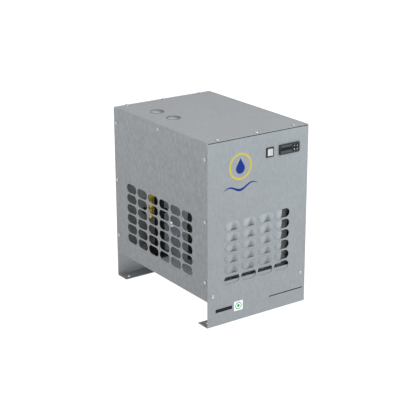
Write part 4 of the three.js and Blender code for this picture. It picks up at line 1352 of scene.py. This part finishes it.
def capillary_route():
    """Out of the drier, round two and a half turns, and over to the exchanger."""
    side = span("heat_exchanger")[1].x
    (x, y), radius = COIL["middle"], COIL["radius"]
    route = [(140, -29.7, 128), (140, -16, 130)]
    for i in range(int(COIL["turns"] * COIL["steps"]) + 1):
        turn = i / COIL["steps"]
        angle = 2 * math.pi * turn - math.pi / 2
        z = COIL["start"] + COIL["rise"] * turn
        route.append((x + radius * math.cos(angle), y + radius * math.sin(angle), z))
    return [*route, (70, 90, 260), (0, 110, 400), (side + 10, 115, 430), (side + GAP, 115, 430)]


def make_pipes():
    runs = (("discharge_pipe", 4, COPPER), ("liquid_line", 3, COPPER), ("bypass_line", 4, FOAM))
    for node, radius, finish in runs:
        piece(f"{node}_run", tube(smooth(ROUTES[node], 8), radius, 18), finish, node, sharp=60)
    route = smooth(ROUTES["suction_pipe"], 10)
    ribs = tube(route, lambda share: 11 - 0.35 * max(0.0, math.sin(share * 60)), 28)
    piece("suction_pipe_run", ribs, FOAM, "suction_pipe", sharp=60)
    thin = tube(smooth(capillary_route(), 4), 1.4, 12)
    piece("capillary_tube_run", thin, COPPER, "capillary_tube", sharp=60)


def make_drier():
    """Copper filter drier: spun ends and a rolled groove round its middle."""
    low, high = span("filter_drier")
    x, z = centre("filter_drier", "xz")
    radius, length = (high.x - low.x) / 2, high.y - low.y
    end = [(0, 0), (4, 0), (4, 6), (5.4, 7.4), (radius - 2.6, 13), (radius - 0.8, 14.8), (radius, 17)]
    ring = [(radius, length * 0.5 - 1), (radius - 0.5, length * 0.5), (radius, length * 0.5 + 1)]
    profile = end + ring + [(r, length - h) for r, h in reversed(end)]
    piece("drier_shell", turned(profile, 56, stand(x, low.y, z, (0, 1, 0))), COPPER, "filter_drier", sharp=40)


def make_valve():
    """Brass hot-gas valve: hexagon cap, body, gland nut, black sleeve and a capped side port."""
    x, y = VALVE["place"]
    bottom, top, radius = VALVE["bottom"], VALVE["top"], VALVE["radius"]
    cap_top, nut_low, nut_top, wide = bottom + 15, top - 22, top - 4, radius + 0.2
    place = stand(x, y, 0)
    chamfer = [(0, bottom - 1), (9.2, bottom), (wide, bottom + 1.4), (wide, bottom + 13.6), (9.4, cap_top)]
    cap = prism(circle(radius, 6, x, y), "z", bottom, cap_top)
    cap = combine(cap, [turned([*chamfer, (0, cap_top)], 48, place)], "INTERSECT")
    piece("valve_cap", cap, BRASS, "bypass_valve", sharp=30)
    body = [(0, cap_top), (9.5, cap_top), (9.5, bottom + 20), (8.4, bottom + 21), (8.4, bottom + 28)]
    body += [(9.8, bottom + 30), (9.8, top - 25), (8.6, top - 23.4), (8.6, nut_low), (0, nut_low)]
    piece("valve_body", turned(body, 56, place), BRASS, sharp=30)
    chamfer = [(0, nut_low), (9.4, nut_low), (wide, top - 20.4), (wide, top - 5.6), (9.4, nut_top)]
    nut = prism(circle(radius, 6, x, y, 14), "z", nut_low, nut_top)
    nut = combine(nut, [turned([*chamfer, (0, nut_top)], 48, place)], "INTERSECT")
    piece("valve_nut", nut, BRASS, sharp=30)
    tip = span("bypass_valve")[1].z
    neck = [(0, nut_top), (6.6, nut_top), (6.6, top + 2), (4.5, top + 4), (4.5, tip), (0, tip)]
    piece("valve_neck", turned(neck, 40, place), PLASTIC, sharp=30)
    side = stand(x, y, VALVE["port"], (0, 1, 0))
    piece("valve_port", turned([(0, 8), (6.2, 8), (6.2, 24), (0, 24)], 32, side), BRASS, sharp=30)
    cover = [(0, 24.1), (9.4, 24.1), (10.4, 25.4), (10.4, 43), (8.8, 45.4), (0, 45.4)]
    piece("valve_port_cap", turned(cover, 40, side), PLASTIC, sharp=30)


make_pipes()
make_drier()
make_valve()

# ---------- Condensate drain ----------

DRAIN = {"place": (-46.0, 217.0), "radius": 14.4, "inlet": 106}


def make_drain():
    """Timed drain valve: ribbed coil body, inlet stub, timer knobs, test button and tail."""
    low, high = span("drain_valve")
    x, y = DRAIN["place"]
    radius, top = DRAIN["radius"], high.z
    profile = [(0, low.z), (radius - 2, low.z), (radius - 1, low.z + 1), (radius - 1, low.z + 22)]
    profile += [(radius, low.z + 23), *grooves(radius, low.z + 26, 4.2, 0.8)]
    profile += [(radius, top - 1.4), (radius - 1.4, top), (0, top)]
    inlet = Vector((x, y, DRAIN["inlet"]))
    way = Vector((RISER["place"][0] - x, RISER["place"][1] - y, 0))
    stub = tube([inlet, inlet + way.normalized() * (way.length - RISER["radius"] - GAP)], 4, 24)
    wells = [(3.5, 32, x, y - 7.5), (2.1, 24, x - 7.6, y + 4), (2.1, 24, x + 7.6, y + 4)]
    tools = [
        turned([(0, top - 4), (r, top - 4), (r, top + 1), (0, top + 1)], steps, stand(well_x, well_y, 0))
        for r, steps, well_x, well_y in wells
    ]
    body = cut(join(turned(profile, 56, stand(x, y, 0)), stub), *tools)
    piece("drain_valve_body", body, PLASTIC, "drain_valve", sharp=35)
    node = "drain_test_button"
    low, high = span(node)
    button = [(0, low.z), (2.8, low.z), (2.8, high.z - 0.9)]
    button += [*arc(2.0, high.z - 0.8, 0.8, 0, 90, 5), (0, high.z)]
    piece("test_button_cap", turned(button, 40, stand(x, y - 7.5, 0)), CREAM, node, "drain_button")
    for name in ("timer_on", "timer_off"):
        make_knob(f"{name}_knob", name)
    make_tail()


def make_knob(node, body):
    """Fluted timer knob with a pointer groove."""
    seat = span("drain_valve")[1].z + GAP
    top = span(node)[1].z - seat
    grip = prism(fluted(3.8, 0.22, 36, 2, 1), "z", 0, top)
    dome = turned([(0, -1), (3.9, -1), (3.9, 2.6), (3.3, top), (0, top)], 48)
    grip = combine(grip, [dome], "INTERSECT")
    stem = turned([(0, -3), (1.5, -3), (1.5, 0.5), (0, 0.5)], 24)
    knob = cut(join(grip, stem), block(-0.5, 0.5, -5, 1.4, top - 1.1, top + 1))
    knob.transform(Matrix.Translation((*centre(node), seat)))
    piece(f"{node}_grip", knob, CREAM, node, body, sharp=30)


def make_tail():
    """Bulkhead drain tail: inner pipe, flange nut and two hose barbs."""
    low, high = span("drain_outlet")
    x, z = centre("drain_outlet", "xz")
    length = high.y - low.y
    outside = HALF_D - low.y
    profile = [(0, 0), (6, 0), (6, outside + 7)]
    for foot in (outside + 9.4, outside + 16.4):
        profile += [(6, foot), (7.6, foot + 1), (7.5, foot + 1.8), (6, foot + 5.6)]
    profile += [(6, length - 0.8), (5.2, length), (3.6, length), (3.6, length - 38), (0, length - 38)]
    stem = turned(profile, 48, stand(x, low.y, z, (0, 1, 0)))
    piece("drain_tail_stem", stem, BRASS, "drain_outlet", sharp=30)
    hexagon = prism(circle(11, 6, x, z), "y", HALF_D + 0.02, HALF_D + 5.3)
    bore = prism(circle(6.05, 48, x, z), "y", HALF_D - 1, HALF_D + 7)
    piece("drain_tail_nut", cut(hexagon, bore), BRASS, edge=0.6)


make_drain()

# ---------- Electrical parts ----------

TERMINAL_WAYS = 6


def make_gland():
    """Cable gland: threaded stem, hexagon, ribbed dome nut, rubber seal and locknut."""
    end = span("cable_gland")[1].y
    x, z = centre("cable_gland", "xz")
    out = stand(x, HALF_D, z, (0, 1, 0))
    stem = [(4.8, -12), (7.6, -12)]
    for i in range(7):
        stem += [(8.0, -11.2 + i * 1.5), (7.5, -10.4 + i * 1.5)]
    stem += [(8.0, 0.0), (8.0, 0.5), (4.8, 0.5)]
    piece("gland_stem", turned(stem, 48, out, closed=True), PLASTIC, sharp=30)
    hexagon = prism(circle(11.5, 6, x, z), "y", HALF_D + 0.05, HALF_D + 7)
    hexagon = cut(hexagon, prism(circle(4.9, 40, x, z), "y", HALF_D - 1, HALF_D + 9))
    piece("gland_hexagon", hexagon, PLASTIC, "cable_gland", edge=0.7)
    tip = end - HALF_D
    grip = prism(fluted(9.6, 0.5, 48, 4, 0, x, z), "y", HALF_D + 7.05, end)
    dome = turned([(0, 6), (9.7, 6), (9.7, 15), (9.0, 17), (6.9, tip), (0, tip)], 64, out)
    grip = combine(grip, [dome], "INTERSECT")
    grip = cut(grip, prism(circle(5.4, 40, x, z), "y", HALF_D + 5, end + 1))
    piece("gland_nut", grip, PLASTIC, sharp=30)
    seal = [(4.6, 8), (5.35, 8), (5.35, tip - 0.6), (4.9, tip - 0.3), (4.6, tip - 0.6)]
    piece("gland_seal", turned(seal, 40, out, closed=True), RUBBER)
    locknut = turned([(8.1, -1.6), (12, -1.6), (12, -6.5), (8.1, -6.5)], 6, out, closed=True)
    piece("gland_locknut", locknut, PLASTIC, edge=0.4)


def make_terminals():
    """Terminal block with screw wells and a wire entry for each way."""
    low, high = span("terminal_block")
    width = high.x - low.x
    tools = []
    for i in range(TERMINAL_WAYS):
        x = low.x + width * (i + 0.5) / TERMINAL_WAYS
        for z in (low.z + 8, high.z - 8):
            tools.append(prism(circle(3.2, 24, x, z), "y", low.y - 1, low.y + 6))
        tools.append(block(x - 2.6, x + 2.6, low.y + 6, low.y + 12, low.z - 1, low.z + 5))
        if i:
            edge = low.x + width * i / TERMINAL_WAYS
            tools.append(block(edge - 0.6, edge + 0.6, low.y - 1, low.y + 3, low.z - 1, high.z + 1))
    strip = prism(box_outline("terminal_block", "xz", 3), "y", low.y, high.y)
    piece("terminal_strip", cut(strip, *tools), CREAM, "terminal_block", edge=0.3)


def make_capacitor():
    """Aluminium can with a rolled bead, a recessed lid and two tabs."""
    low, high = span("start_capacitor")
    x, y = centre("start_capacitor")
    radius, top = (high.x - low.x) / 2, high.z - 9
    profile = [(0, low.z), (radius - 2, low.z), *arc(radius - 2, low.z + 2, 2, -90, 0, 5)]
    profile += [(radius, top - 10), (radius - 1.4, top - 8.6), (radius - 1.4, top - 7.4), (radius, top - 6)]
    profile += [(radius, top - 0.8), (radius - 0.8, top), (radius - 2, top), (radius - 2.2, top - 1.2)]
    profile += [(0, top - 1.2)]
    piece("capacitor_can", turned(profile, 72, stand(x, y, 0)), ALUMINIUM, "start_capacitor", sharp=40)
    for i, dx in enumerate((-7, 7)):
        tab = block(x + dx - 3, x + dx + 3, y - 0.5, y + 0.5, top - 1.2, high.z)
        piece(f"capacitor_tab_{i}", tab, STEEL, edge=0.2)


make_gland()
make_terminals()
make_capacitor()
